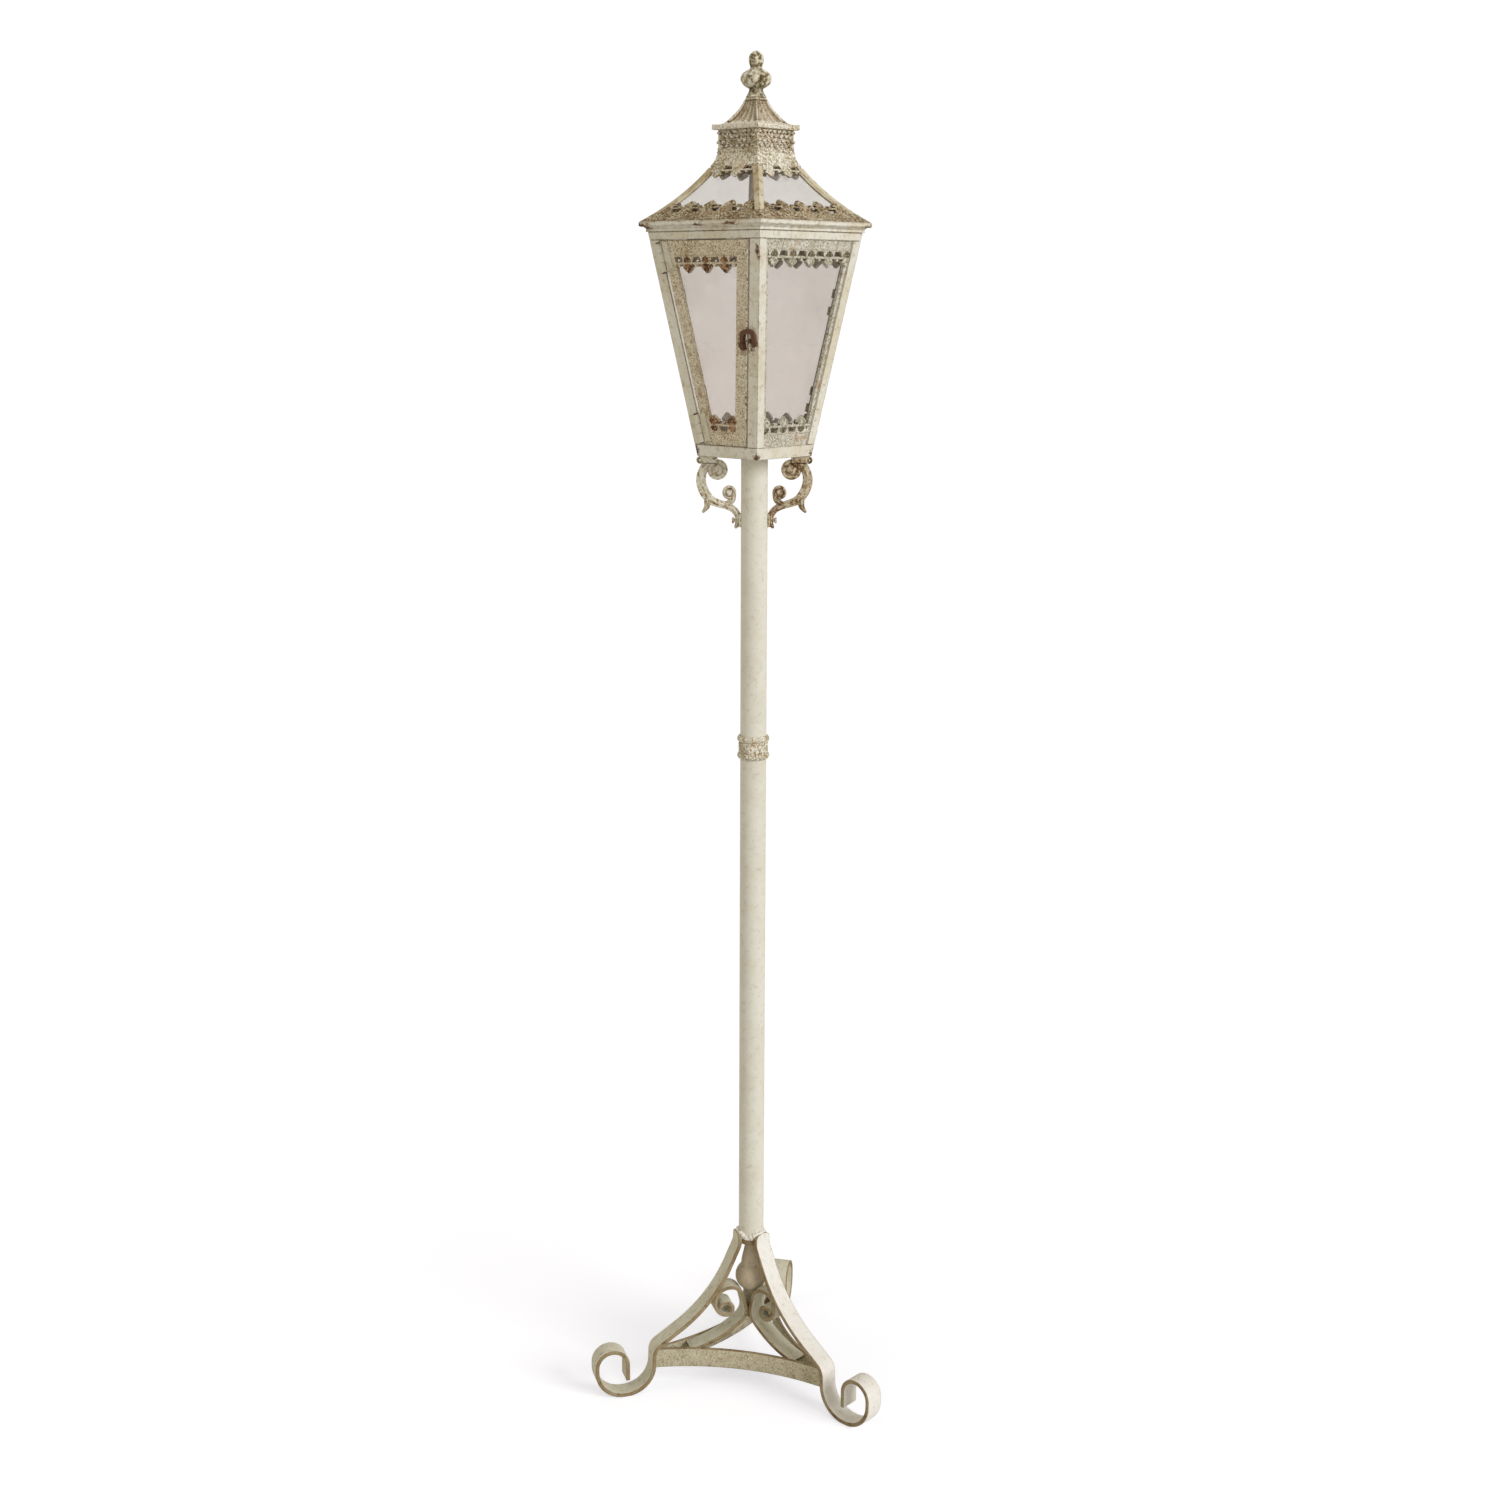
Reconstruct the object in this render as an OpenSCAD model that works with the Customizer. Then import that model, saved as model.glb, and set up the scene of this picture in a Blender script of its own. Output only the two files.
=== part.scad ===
// Candle lantern on a tripod post: a square, inwards-tapering glazed lantern with a hinged
// door and a glass roof, on a tube pole that three scrolled strap legs carry.
// Z is up. The origin is on the pole's axis, at the floor. The door faces -Y.

/* [Pole] */
// Outer diameter of the pole's two tubes
pole_d = 31.8; // [26:0.1:38]
// Wall of the tubes
pole_wall = 2; // [1.2:0.1:3]
// Height of the lantern's underside above the floor
lantern_z = 1193.5; // [1100:0.5:1400]
// Height of the joint between the two tubes
joint_z = 841.5; // [500:0.5:1000]
// Height of the lower tube's open end
tube_foot_z = 188; // [180:0.5:196]
// Height of the cast ring that covers the joint
collar_h = 29; // [20:0.5:40]
// Swell of the cast ring beyond the tube
collar_swell = 2.4; // [1.5:0.1:5]
// Length of the hidden plugs that go up and down inside a tube
plug_depth = 38; // [20:1:60]
// Radial clearance of a plug in a tube
plug_fit = 0.05; // [0.02:0.01:0.1]

/* [Tripod] */
// Number of legs is three; width of the flat bar that legs, stretchers and scrolls are bent from
strap_w = 25.4; // [18:0.1:30]
// Thickness of the leg bar
leg_t = 5; // [3.5:0.1:6.5]
// Height of the top end of the legs, where they are welded to the tube
hub_z = 204; // [200:0.5:215]
// Height at which a leg leaves the tube
hub_bend_z = 189; // [180:0.5:196]
// Distance from the axis at which the leg's long curve bends most
brow_r = 53; // [48:0.5:58]
// Height at which the leg's long curve bends most
brow_z = 111; // [104:0.5:114]
// Radius of the leg's long curve
brow_bend = 190; // [120:1:220]
// Distance from the axis to the middle of the leg at its knee
knee_r = 132; // [126:0.5:145]
// Height of the knee
knee_z = 58.7; // [57:0.1:66]
// Radius of the knee
knee_bend = 17; // [10:0.5:20]
// Distance from the axis to the outer end of the foot scroll
foot_r = 210; // [200:0.5:230]
// Height of the foot scroll
foot_h = 66.5; // [60:0.5:76]
// Distance from the axis to the inner side of the foot scroll
foot_curl_r = 165; // [160:0.5:172]
// Height at which the bar ends inside the foot scroll
foot_end_z = 23; // [16:0.5:34]
// Radius of the foot's lower bend
foot_bend = 36; // [26:0.5:38]
// Radius of the foot scroll's upper bends
curl_bend = 20; // [14:0.5:21]
// Depth of the flat ground under each foot
foot_flat = 0.5; // [0.3:0.1:1]

/* [Stretchers and scrolls] */
// Thickness of the stretcher bar
stretcher_t = 4.5; // [3:0.1:6]
// Height of the stretchers' lower edge
stretcher_z = 30; // [26:0.5:34]
// Height of a stretcher bar on edge
stretcher_h = 25.4; // [18:0.1:27]
// Distance from the axis to the middle of a stretcher
stretcher_mid_r = 46; // [42:0.5:54]
// Thickness of the inner scroll bar
scroll_t = 4.5; // [3:0.1:5.5]
// Distance from the axis to the outer end of a scroll bar, between two stretchers
scroll_foot_r = 84; // [80:0.5:90]
// Height of a scroll bar's outer end
scroll_foot_z = 48.9; // [46:0.1:51]
// Distance from the axis to a scroll bar's sag
scroll_sag_r = 45; // [42:0.5:48]
// Height of the sag
scroll_sag_z = 54.8; // [53:0.1:58]
// Height at which the scroll bars turn up beside each other
scroll_heel_z = 88.7; // [87:0.1:92]
// Height of the top of the scrolls
scroll_top_z = 133; // [130:0.5:134]
// Distance from the axis to the outer side of the scrolls
scroll_out_r = 53; // [50:0.5:53]
// Height of the lowest point of the curl
scroll_low_z = 91; // [89:0.5:93]
// Distance from the axis to the inner end of the curl
scroll_eye_r = 25.5; // [24:0.5:27]
// Radius of the scroll's outer bends
scroll_bend = 20.5; // [18:0.5:20.5]

/* [Pendant] */
// Radius of the ball under the pole
ball_r = 20; // [17:0.1:20.5]
// Height of the ball's centre
ball_z = 140; // [139:0.5:144]
// Radius of the pendant's neck under the tube
neck_top_r = 7.4; // [6.5:0.1:9]
// Radius of the pendant's neck above the ball
neck_low_r = 12.4; // [10:0.1:13]
// Height of the pendant's lowest point
tip_z = 108.7; // [107:0.1:114]
// Radius of the threaded tenons
tenon_r = 5; // [4:0.1:6]

/* [Brackets] */
// Thickness of the two cast brackets
bracket_t = 8; // [6:0.5:12]
// Distance from the axis to a bracket's outermost curve
bracket_r = 69.3; // [64:0.1:72]
// Height of a bracket
bracket_h = 86; // [84:0.5:90]

/* [Lantern walls] */
// Half of the lantern's side at its underside
foot_half = 47.7; // [44:0.1:52]
// Half of the lantern's side at the underside of the cornice
head_half = 87.8; // [82:0.1:92]
// Height from the underside to the underside of the fascia
wall_h = 247.2; // [230:0.1:300]
// Height of the plain fascia above the door
fascia_h = 9; // [7:0.1:14]
// Height of the bottom rail
rail_h = 13.5; // [10:0.1:18]
// Width of the corner posts' faces beside the door
post_w = 15; // [12:0.1:18]
// Width of the corner posts' faces on the fixed sides
side_post_w = 12; // [10:0.1:15]
// Thickness of the corner posts, rails and fascia
sheet_t = 2.5; // [1.5:0.1:3.5]
// Thickness of the cast side frames and the door
frame_t = 4; // [3:0.1:5]
// Thickness of the glass
glass_t = 3; // [2:0.1:3.5]
// Clearance between neighbouring fixed pieces
fit = 0.1; // [0.05:0.01:0.2]
// Width of the inward flange that the floor pan lies on
flange_w = 14; // [10:0.5:18]

/* [Pierced galleries] */
// Height of the plain band of a top gallery
gallery_band = 12; // [9:0.1:15]
// Height of the plain band of a bottom gallery
sill_band = 15; // [12:0.1:18]
// Height of the pierced row
gallery_row = 10; // [7.5:0.1:11]
// Length of a leaf beyond the pierced row
leaf_h = 10; // [8:0.1:14]
// Half width of a leaf
leaf_half = 8.2; // [6:0.1:9]
// Spacing of the leaves on the fixed sides
leaf_pitch = 31; // [29:0.1:33]
// Spacing of the leaves on the door
door_leaf_pitch = 29; // [27:0.1:31]
// Height of the piercings
piercing_h = 5.6; // [4:0.1:6]
// Width of the piercings
piercing_w = 12.5; // [9:0.1:14]

/* [Door] */
// Gap round the door
door_gap = 1.5; // [1.3:0.1:2]
// Width of the door's stiles
stile_w = 18; // [14:0.1:22]
// Extra height of the door's top rail
door_rail = 5; // [3:0.1:8]
// Radius of the hinge barrels
barrel_r = 3.2; // [2.6:0.1:4]
// Radius of the hinge pins
pin_r = 1.6; // [1.2:0.1:2]
// Radial clearance of a pin in its barrel
pin_fit = 0.05; // [0.02:0.01:0.1]
// Length of a whole hinge
hinge_len = 33; // [24:0.5:45]
// Thickness of the hinge leaves
leaf_t = 1.6; // [1.2:0.1:2]
// Distance along the slope from the bottom rail to the lower hinge
hinge_low_w = 4; // [3:0.5:30]
// Clearance between the knuckles of a hinge, along the pin
knuckle_fit = 0.3; // [0.2:0.05:0.6]

/* [Latch] */
// Distance along the slope from the underside to the latch's pivot
latch_w = 131; // [60:1:180]
// Distance from the pivot to the middle of the hook's drop
latch_reach = 18; // [17:0.5:19]
// Height of the hook's bar above the pivot
latch_rise = 17; // [15:0.5:19]
// Width of the hook's bar
latch_bar = 5; // [4:0.1:6]
// Thickness of the hook
latch_t = 3; // [2:0.1:4]
// Radius of the rivet and of the peg
rivet_r = 2; // [1.6:0.1:2.4]
// Height of the peg above the pivot
peg_rise = 6; // [4:0.5:8]
// Clearance between the hook and what it turns over
latch_fit = 0.4; // [0.3:0.05:0.6]

/* [Roof] */
// Overhang of the cornice beyond the fascia
cornice_out = 7.5; // [5:0.1:10]
// Height of the cornice
cornice_h = 11.5; // [9:0.1:15]
// Height of the roof's curved slope
roof_h = 61.8; // [50:0.1:75]
// Half of the side at the roof's upper edge
roof_head_half = 37; // [34.5:0.1:42]
// Sag of the roof's curve
roof_sag = 4; // [2:0.1:6]
// Width of the corner ribs
rib_w = 11; // [8:0.1:14]
// Thickness of the roof's castings
roof_t = 3; // [2:0.1:4]
// Height of the neck above the roof
neck_h = 18; // [14:0.1:24]
// Half of the side of the perforated band
band_half = 30.5; // [29:0.1:32]
// Height of the perforated band
band_h = 21.5; // [16:0.1:28]
// Radius of the vent holes
vent_r = 1.6; // [1.2:0.1:1.8]
// Number of vent holes along a side
vent_cols = 10; // [6:1:11]
// Number of rows of vent holes
vent_rows = 4; // [2:1:4]
// Half diagonal of the crown at its brim
crown_brim = 50.5; // [46:0.1:54]
// Height of the crown
crown_h = 36; // [28:0.1:44]
// Half diagonal of the crown at its top
crown_top = 12.3; // [11:0.1:14]
// Radius of the rod that ties the crown down
rod_r = 3; // [2.5:0.1:4]

/* [Finial] */
// Height of the finial
finial_h = 51; // [44:0.5:60]
// Radius of the lobed bulb
bulb_r = 18.2; // [15:0.1:20]
// Number of lobes on the bulb
lobes = 6; // [5:1:8]

/* [Candle dish] */
// Radius of the candle dish
dish_r = 36; // [30:0.5:38]
// Radius of the candle cup's bore
cup_r = 11.5; // [10:0.1:14]
// Height of the candle cup
cup_h = 26; // [22:0.5:30]

/* [Hidden] */
$fn = 48;

STEP = 9;                              // degrees between the points of a bend
PAINT = [0.78, 0.73, 0.62];
RUST = [0.50, 0.38, 0.27];
DARK_RUST = [0.33, 0.22, 0.15];
GLASS = [0.78, 0.75, 0.72, 0.6];
pole_r = pole_d / 2;
bore_r = pole_r - pole_wall;
plug_r = bore_r - plug_fit;
leg_angle = [0, 120, 240];             // right, back, front
tilt = atan((head_half - foot_half) / (wall_h + fascia_h));
wall_w = wall_h / cos(tilt);           // wall height along the slope
rail_w = rail_h / cos(tilt);
fascia_w = fascia_h / cos(tilt);
skew = atan(sin(tilt));                // slant of a corner edge within its face
cornice_z = lantern_z + wall_h + fascia_h;
cornice_half = head_half + cornice_out;
roof_z = cornice_z + cornice_h;
roof_foot_half = cornice_half - 0.8;
neck_z = roof_z + roof_h;
band_z = neck_z + neck_h;
crown_z = band_z + band_h;
finial_z = crown_z + crown_h;
frame_back = sheet_t + fit + frame_t;  // depth of a side frame's inner face
gallery_z = roof_z + 9;                // top of the skirt's plain band
seam = fit + sheet_t * tan(tilt);      // gap at the square-cut end of a slanted sheet
clip_l = 10;
clip_t = 1.2;

// ---- Shapes -------------------------------------------------------------------------

function unit(v) = v / norm(v);
function left_of(v) = [-v.y, v.x];
function spun(v, a) = [v.x * cos(a) - v.y * sin(a), v.x * sin(a) + v.y * cos(a)];

// Signed angle by which path P turns at its point i
function bend(P, i) =
    let (a = P[i] - P[i - 1], b = P[i + 1] - P[i])
    atan2(a.x * b.y - a.y * b.x, a * b);

// Length that a bend of radius R[i] takes from each of its two sides
function reach(P, R, i) =
    i <= 0 || i >= len(P) - 1 ? 0 : R[i] * tan(abs(bend(P, i)) / 2);

// Share of that length that fits between the neighbouring bends
function share(P, R, i) = min(1,
    norm(P[i] - P[i - 1]) / (reach(P, R, i - 1) + reach(P, R, i)),
    norm(P[i + 1] - P[i]) / (reach(P, R, i) + reach(P, R, i + 1)));

// Points of the round bend at corner i
function bend_points(P, R, i) =
    let (b = bend(P, i),
        t = reach(P, R, i) * share(P, R, i),
        r = t / tan(abs(b) / 2),
        d = unit(P[i] - P[i - 1]),
        start = P[i] - d * t,
        centre = start + sign(b) * r * left_of(d),
        n = ceil(abs(b) / STEP))
    [for (k = [0:n]) centre + spun(start - centre, b * k / n)];

// Path through the corners P, with a bend of radius R[i] at each
function bent(P, R) =
    let (all = concat([P[0]],
        [for (i = [1:len(P) - 2], p = bend_points(P, R, i)) p],
        [P[len(P) - 1]]))
    [for (i = [0:len(all) - 1]) if (i == 0 || norm(all[i] - all[i - 1]) > 0.02) all[i]];

// Heading of path P at point i
function heading(P, i) =
    let (n = len(P) - 1,
        a = i > 0 ? unit(P[i] - P[i - 1]) : [0, 0],
        b = i < n ? unit(P[i + 1] - P[i]) : [0, 0])
    unit(a + b);

// Path P moved sideways, to the left of its heading
function beside(P, d) = [for (i = [0:len(P) - 1]) P[i] + d * left_of(heading(P, i))];

function reversed(P) = [for (i = [len(P) - 1:-1:0]) P[i]];

// Bar that lies between two sideways distances from path P, where a is left of b
module bar(P, a, b) {
    polygon(concat(beside(P, b), reversed(beside(P, a))));
}

// Arc from p to q whose middle lies a distance sag to the left of the straight line
function arc_points(p, q, sag, n) =
    let (half = norm(q - p) / 2,
        r = (half * half + sag * sag) / (2 * sag),
        u = unit(q - p),
        centre = (p + q) / 2 + left_of(u) * (sag - r),
        sweep = -2 * asin(half / r))
    [for (k = [0:n]) centre + spun(p - centre, sweep * k / n)];

// Smooth curve through points P, whose third number is the width there
function smooth(P, n) = concat(
    [for (i = [0:len(P) - 2], k = [0:n - 1])
        let (t = k / n, a = P[max(i - 1, 0)], b = P[i], c = P[i + 1],
            d = P[min(i + 2, len(P) - 1)])
        (2 * b + (c - a) * t + (2 * a - 5 * b + 4 * c - d) * t * t
            + (3 * b - a - 3 * c + d) * t * t * t) / 2],
    [P[len(P) - 1]]);

// Stroke of changing width along the smooth curve through P, with round ends
module stroke(P, n = 5) {
    S = smooth(P, n);
    m = len(S) - 1;
    mid = [for (p = S) [p.x, p.y]];
    side = [for (i = [0:m]) left_of(heading(mid, i)) * S[i].z / 2];
    head = [for (k = [1:7]) mid[m] + spun(-side[m], 22.5 * k)];
    tail = [for (k = [1:7]) mid[0] + spun(side[0], 22.5 * k)];
    polygon(concat([for (i = [0:m]) mid[i] - side[i]], head,
        [for (i = [m:-1:0]) mid[i] + side[i]], tail));
}

// Disc drawn as a polygon, for the outlines of castings
module disc(r) {
    polygon([for (a = [7:15:359]) r * [cos(a), sin(a)]]);
}

// Flat shape in the upright plane at angle a, x outwards and y up, w thick
module upright(a, w) {
    rotate([0, 0, a]) rotate([90, 0, 0]) linear_extrude(w, center = true) children();
}

// ---- Base ---------------------------------------------------------------------------

leg_mid_r = pole_r + fit / 2 + leg_t / 2;
foot_mid_r = foot_r - leg_t / 2;
foot_top_z = foot_h - leg_t / 2;
curl_mid_r = foot_curl_r + leg_t / 2;
knee_face_r = knee_r - leg_t / 2;
foot_turn_r = knee_r + 2;
leg_line = bent(
    [[leg_mid_r, hub_z], [leg_mid_r, hub_bend_z], [brow_r, brow_z], [knee_r, knee_z],
        [foot_turn_r, leg_t / 2], [foot_mid_r, leg_t / 2], [foot_mid_r, foot_top_z],
        [curl_mid_r, foot_top_z], [curl_mid_r, foot_end_z]],
    [0, 20, brow_bend, knee_bend, foot_bend, foot_bend, curl_bend, curl_bend, 0]);

module leg(i) {
    color(PAINT)
        difference() {
            upright(leg_angle[i], strap_w)
                translate([0, -foot_flat]) bar(leg_line, leg_t / 2, -leg_t / 2);
            translate([-foot_r * 2, -foot_r * 2, -10])
                cube([foot_r * 4, foot_r * 4, 10]);
        }
}

// Stretcher from leg i to the next one, bowed towards the axis
stretcher_gap = stretcher_t / 2 + fit;
stretcher_end = [knee_face_r - fit, -stretcher_gap];
stretcher_turned = spun(stretcher_end, 60);
stretcher_line = arc_points([stretcher_turned.x, -stretcher_turned.y], stretcher_turned,
    stretcher_turned.x - stretcher_mid_r, 16);

module stretcher_shape(i, grow = 0) {
    rotate([0, 0, leg_angle[i] + 60])
        translate([0, 0, stretcher_z - grow])
            linear_extrude(stretcher_h + 2 * grow)
                bar(stretcher_line, stretcher_t / 2 + grow, -stretcher_t / 2 - grow);
}

module stretcher(i) {
    color(PAINT)
        difference() {
            stretcher_shape(i);
            for (k = [i, (i + 1) % 3])
                upright(leg_angle[k], strap_w) translate([0, -foot_flat])
                    bar(leg_line, leg_t / 2 + fit, -leg_t / 2 - fit);
        }
}

scroll_heel_r = strap_w / (2 * sqrt(3)) - 2.3;
scroll_line = bent(
    [[scroll_foot_r, scroll_foot_z], [scroll_sag_r, scroll_sag_z],
        [scroll_heel_r, scroll_heel_z], [scroll_heel_r + 10.4, scroll_top_z],
        [scroll_out_r, scroll_top_z], [scroll_out_r, scroll_low_z],
        [scroll_eye_r, scroll_low_z], [scroll_eye_r, scroll_low_z + 20.5],
        [scroll_eye_r + 20.5, scroll_low_z + 20.5], [scroll_eye_r + 20.5, scroll_low_z + 13]],
    [0, 140, 22, scroll_bend, scroll_bend, scroll_bend, 10.5, 10, 8, 0]);

// Inner scroll in the plane of leg i, its outer end wedged between two stretchers
module inner_scroll(i) {
    color(PAINT)
        difference() {
            intersection() {
                upright(leg_angle[i], strap_w) bar(scroll_line, 0, -scroll_t);
                rotate([0, 0, leg_angle[i]])
                    linear_extrude(scroll_top_z + 1)
                        polygon([[0.1, 0], [foot_r, -foot_r * tan(60)],
                            [foot_r, foot_r * tan(60)]]);
            }
            stretcher_shape(i, fit);
            stretcher_shape((i + 2) % 3, fit);
        }
}

// Plug pressed and welded into the foot of the lower tube, tapped for the pendant
module tube_plug() {
    color(PAINT)
        translate([0, 0, tube_foot_z])
            difference() {
                cylinder(h = plug_depth, r = plug_r);
                translate([0, 0, -1]) cylinder(h = plug_depth + 2, r = tenon_r + plug_fit);
            }
}

// Turned pendant: a neck, a ball and a small tip, with a tenon that screws into the plug
module pendant() {
    waist_z = ball_z + sqrt(ball_r * ball_r - neck_low_r * neck_low_r);
    color(PAINT) {
        rotate_extrude()
            polygon(concat(
                [[0, tip_z], [2.2, tip_z], [4.6, tip_z + 5], [6.8, ball_z - ball_r + 1.5]],
                [for (a = [-68:8:51]) [ball_r * cos(a), ball_z + ball_r * sin(a)]],
                [[neck_low_r, waist_z], [neck_low_r, waist_z + 5], [neck_low_r - 1.2, waist_z + 13]],
                [[neck_top_r, tube_foot_z - 1.2], [neck_top_r, tube_foot_z - fit],
                    [0, tube_foot_z - fit]]));
        translate([0, 0, tube_foot_z - fit - 1]) cylinder(h = plug_depth - 4, r = tenon_r);
    }
}

module tube(z0, z1) {
    translate([0, 0, z0])
        difference() {
            cylinder(h = z1 - z0, r = pole_r, $fn = 64);
            translate([0, 0, -1]) cylinder(h = z1 - z0 + 2, r = bore_r, $fn = 64);
        }
}

module pole_lower() {
    color(PAINT) tube(tube_foot_z, joint_z - fit / 2);
}

pole_top_z = lantern_z - fit;
module pole_upper() {
    color(PAINT) tube(joint_z + fit / 2, pole_top_z);
}

// Sleeve inside both tubes, which joins them
module pole_coupler() {
    color("dimgray")
        translate([0, 0, joint_z - plug_depth])
            difference() {
                cylinder(h = 2 * plug_depth, r = plug_r);
                translate([0, 0, -1]) cylinder(h = 2 * plug_depth + 2, r = plug_r - 3);
            }
}

// Cast ring over the joint: a bead, a carved band and a bead
module joint_collar() {
    seat = pole_r + plug_fit;
    bead = collar_h / 7;
    color(RUST)
        translate([0, 0, joint_z - collar_h / 2])
            rotate_extrude()
                difference() {
                    union() {
                        translate([seat, 0]) square([collar_swell * 0.7, collar_h]);
                        for (z = [bead, collar_h - bead])
                            translate([seat + collar_swell * 0.35, z]) circle(r = bead * 0.75);
                    }
                    translate([-seat, -1]) square([seat * 2, collar_h + 2]);
                }
}

// Plug in the head of the upper tube, with the threaded stud that carries the lantern
stud_h = 17;
module pole_head_plug() {
    color("dimgray") {
        translate([0, 0, pole_top_z - plug_depth]) cylinder(h = plug_depth, r = plug_r);
        translate([0, 0, pole_top_z - 1]) cylinder(h = stud_h, r = tenon_r);
    }
}

nut_z = lantern_z + sheet_t * 2 + fit * 2;
module stud_nut() {
    color("dimgray")
        translate([0, 0, nut_z])
            difference() {
                union() {
                    cylinder(h = 2, r = 13);
                    translate([0, 0, 1.9]) cylinder(h = 8.1, r = 9.8, $fn = 6);
                }
                translate([0, 0, -1]) cylinder(h = 12, r = tenon_r + plug_fit);
            }
}

// ---- Brackets -----------------------------------------------------------------------

// Outline of a bracket, x outwards from the axis and y up from its lowest point
module bracket_outline() {
    out = bracket_r - 6;
    top = bracket_h;
    scroll = [out - 19.5, top - 16];
    // scroll head, long C-curve and lower arm
    translate(scroll) disc(12);
    stroke([[scroll.x + 6, scroll.y + 6.5, 9], [out - 6, top - 11, 10], [out - 1, top - 21, 11],
        [out - 0.2, top - 31, 11.6], [out - 3.6, top - 42, 11.6], [out - 11, top - 51.5, 10.5],
        [out - 21, top - 56, 9], [out - 31, top - 59, 8.5], [out - 39.5, top - 64, 8],
        [out - 45, top - 73, 8], [pole_r + 1.5, 7, 7]]);
    // lower scroll on the arm
    translate([out - 33.5, top - 43]) disc(8.3);
    stroke([[out - 29, top - 58, 7], [out - 37, top - 52, 7], [out - 38.2, top - 45, 7]]);
    // spur under the C-curve and spur under the arm
    stroke([[out - 7.5, top - 52, 8], [out - 7, top - 59.5, 7], [out - 2.8, top - 65.5, 3.4]]);
    stroke([[out - 43.5, top - 70, 7], [out - 43.6, top - 79, 6.5], [out - 41.4, 2.2, 4]]);
    // arm along the rail, with its round corner boss
    translate([scroll.x, top - 8]) square([out + 1.5 - scroll.x, 8]);
    translate([out + 1.2, top - 4.7]) disc(4.4);
    // pad on the pole
    translate([pole_r - 2, 2]) square([5, 16]);
}

bracket_z = lantern_z - bracket_h - fit;
module bracket(a) {
    color(PAINT)
        difference() {
            upright(a, bracket_t) translate([0, bracket_z]) bracket_outline();
            translate([0, 0, bracket_z - 1]) cylinder(h = bracket_h + 2, r = pole_r + plug_fit);
            rotate([0, 0, a])
                translate([pole_r - 5, 0, bracket_z + 10])
                    rotate([0, 90, 0]) cylinder(h = 30, r = rivet_r + plug_fit);
        }
}

// Screws that hold the brackets' feet to the pole
module bracket_screws() {
    color(DARK_RUST)
        for (a = [45, 225])
            rotate([0, 0, a])
                translate([pole_r + fit, 0, bracket_z + 10])
                    rotate([0, 90, 0]) {
                        cylinder(h = 9, r = rivet_r);
                        translate([0, 0, 8.2]) cylinder(h = 2.4, r = 3.6, $fn = 6);
                    }
}

// ---- Lantern walls ------------------------------------------------------------------

// Flat work on side k (0 front, 1 right, 2 back, 3 left): x along the side, y up the slope,
// z outwards from the outer face, with the zero of y at the lantern's underside
module on_side(k) {
    rotate([0, 0, 90 * k])
        translate([0, -foot_half, lantern_z]) rotate([90 + tilt, 0, 0]) children();
}

function half_at(w) = foot_half + w * sin(tilt);

// Face outline between two heights on the slope, inset from the corner edges
module face_strip(w0, w1, inset) {
    polygon([[-half_at(w0) + inset, w0], [half_at(w0) - inset, w0],
        [half_at(w1) - inset, w1], [-half_at(w1) + inset, w1]]);
}

// Layer of a face between two depths under its outer surface
module layer(d0, d1) {
    translate([0, 0, -d1]) linear_extrude(d1 - d0) children();
}

module bottom_rail() {
    color(PAINT) {
        for (k = [0:3])
            on_side(k) layer(0, sheet_t) face_strip(0, rail_w, 0);
        translate([0, 0, lantern_z])
            linear_extrude(sheet_t)
                difference() {
                    square(2 * foot_half - 1, center = true);
                    square(2 * (foot_half - flange_w), center = true);
                }
    }
}

module floor_pan() {
    side = 2 * (foot_half - sheet_t / cos(tilt) - fit);
    color(PAINT)
        translate([0, 0, lantern_z + sheet_t + fit])
            difference() {
                union() {
                    translate([-side / 2, -side / 2, 0]) cube([side, side, sheet_t]);
                    translate([0, 0, -sheet_t - fit]) cylinder(h = sheet_t + fit + 1, r = pole_r + 6);
                }
                translate([0, 0, -10]) cylinder(h = 20, r = tenon_r + plug_fit);
            }
}

// Spun dish with a socket for a candle
module candle_dish() {
    seat_z = nut_z - fit / 2;
    rim_h = 7;
    color(PAINT)
        translate([0, 0, seat_z])
            rotate_extrude()
                polygon([[13.4, 0], [dish_r - 5, 0], [dish_r, rim_h], [dish_r - 1.2, rim_h],
                    [dish_r - 5.8, 1.4], [15, 1.4], [cup_r + 2.6, 12.6], [cup_r + 1.6, 14],
                    [cup_r + 1.6, cup_h + 11], [cup_r + 3, cup_h + 12], [cup_r, cup_h + 12],
                    [cup_r, 13.4], [0, 13.4], [0, 12], [cup_r - 0.4, 12], [13.4, 2]]);
}

// Angle post on the corner between side k and the next, whose sheet butts against side k's
module post(k, peg = false) {
    color(PAINT)
        difference() {
            for (s = [0, 1])
                on_side(k + s) layer(0, sheet_t)
                    difference() {
                        face_strip(rail_w + seam, wall_w - seam, s * sheet_t / 5);
                        post_cut(s == 0 ? -1 : 1, (k + s) % 4 == 0 ? post_w : side_post_w);
                    }
            if (peg)
                on_peg() translate([0, 0, -sheet_t - 2])
                    cylinder(h = sheet_t + 4, r = rivet_r + 0.02);
        }
}

// What a post with a face w wide leaves free of the side that it stands on
module post_cut(s, w) {
    top = wall_w + 1;
    far = 2 * head_half;
    polygon([[s * far, -1], [-s * (half_at(-1) - w), -1],
        [-s * (half_at(top) - w), top], [s * far, top]]);
}

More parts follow.
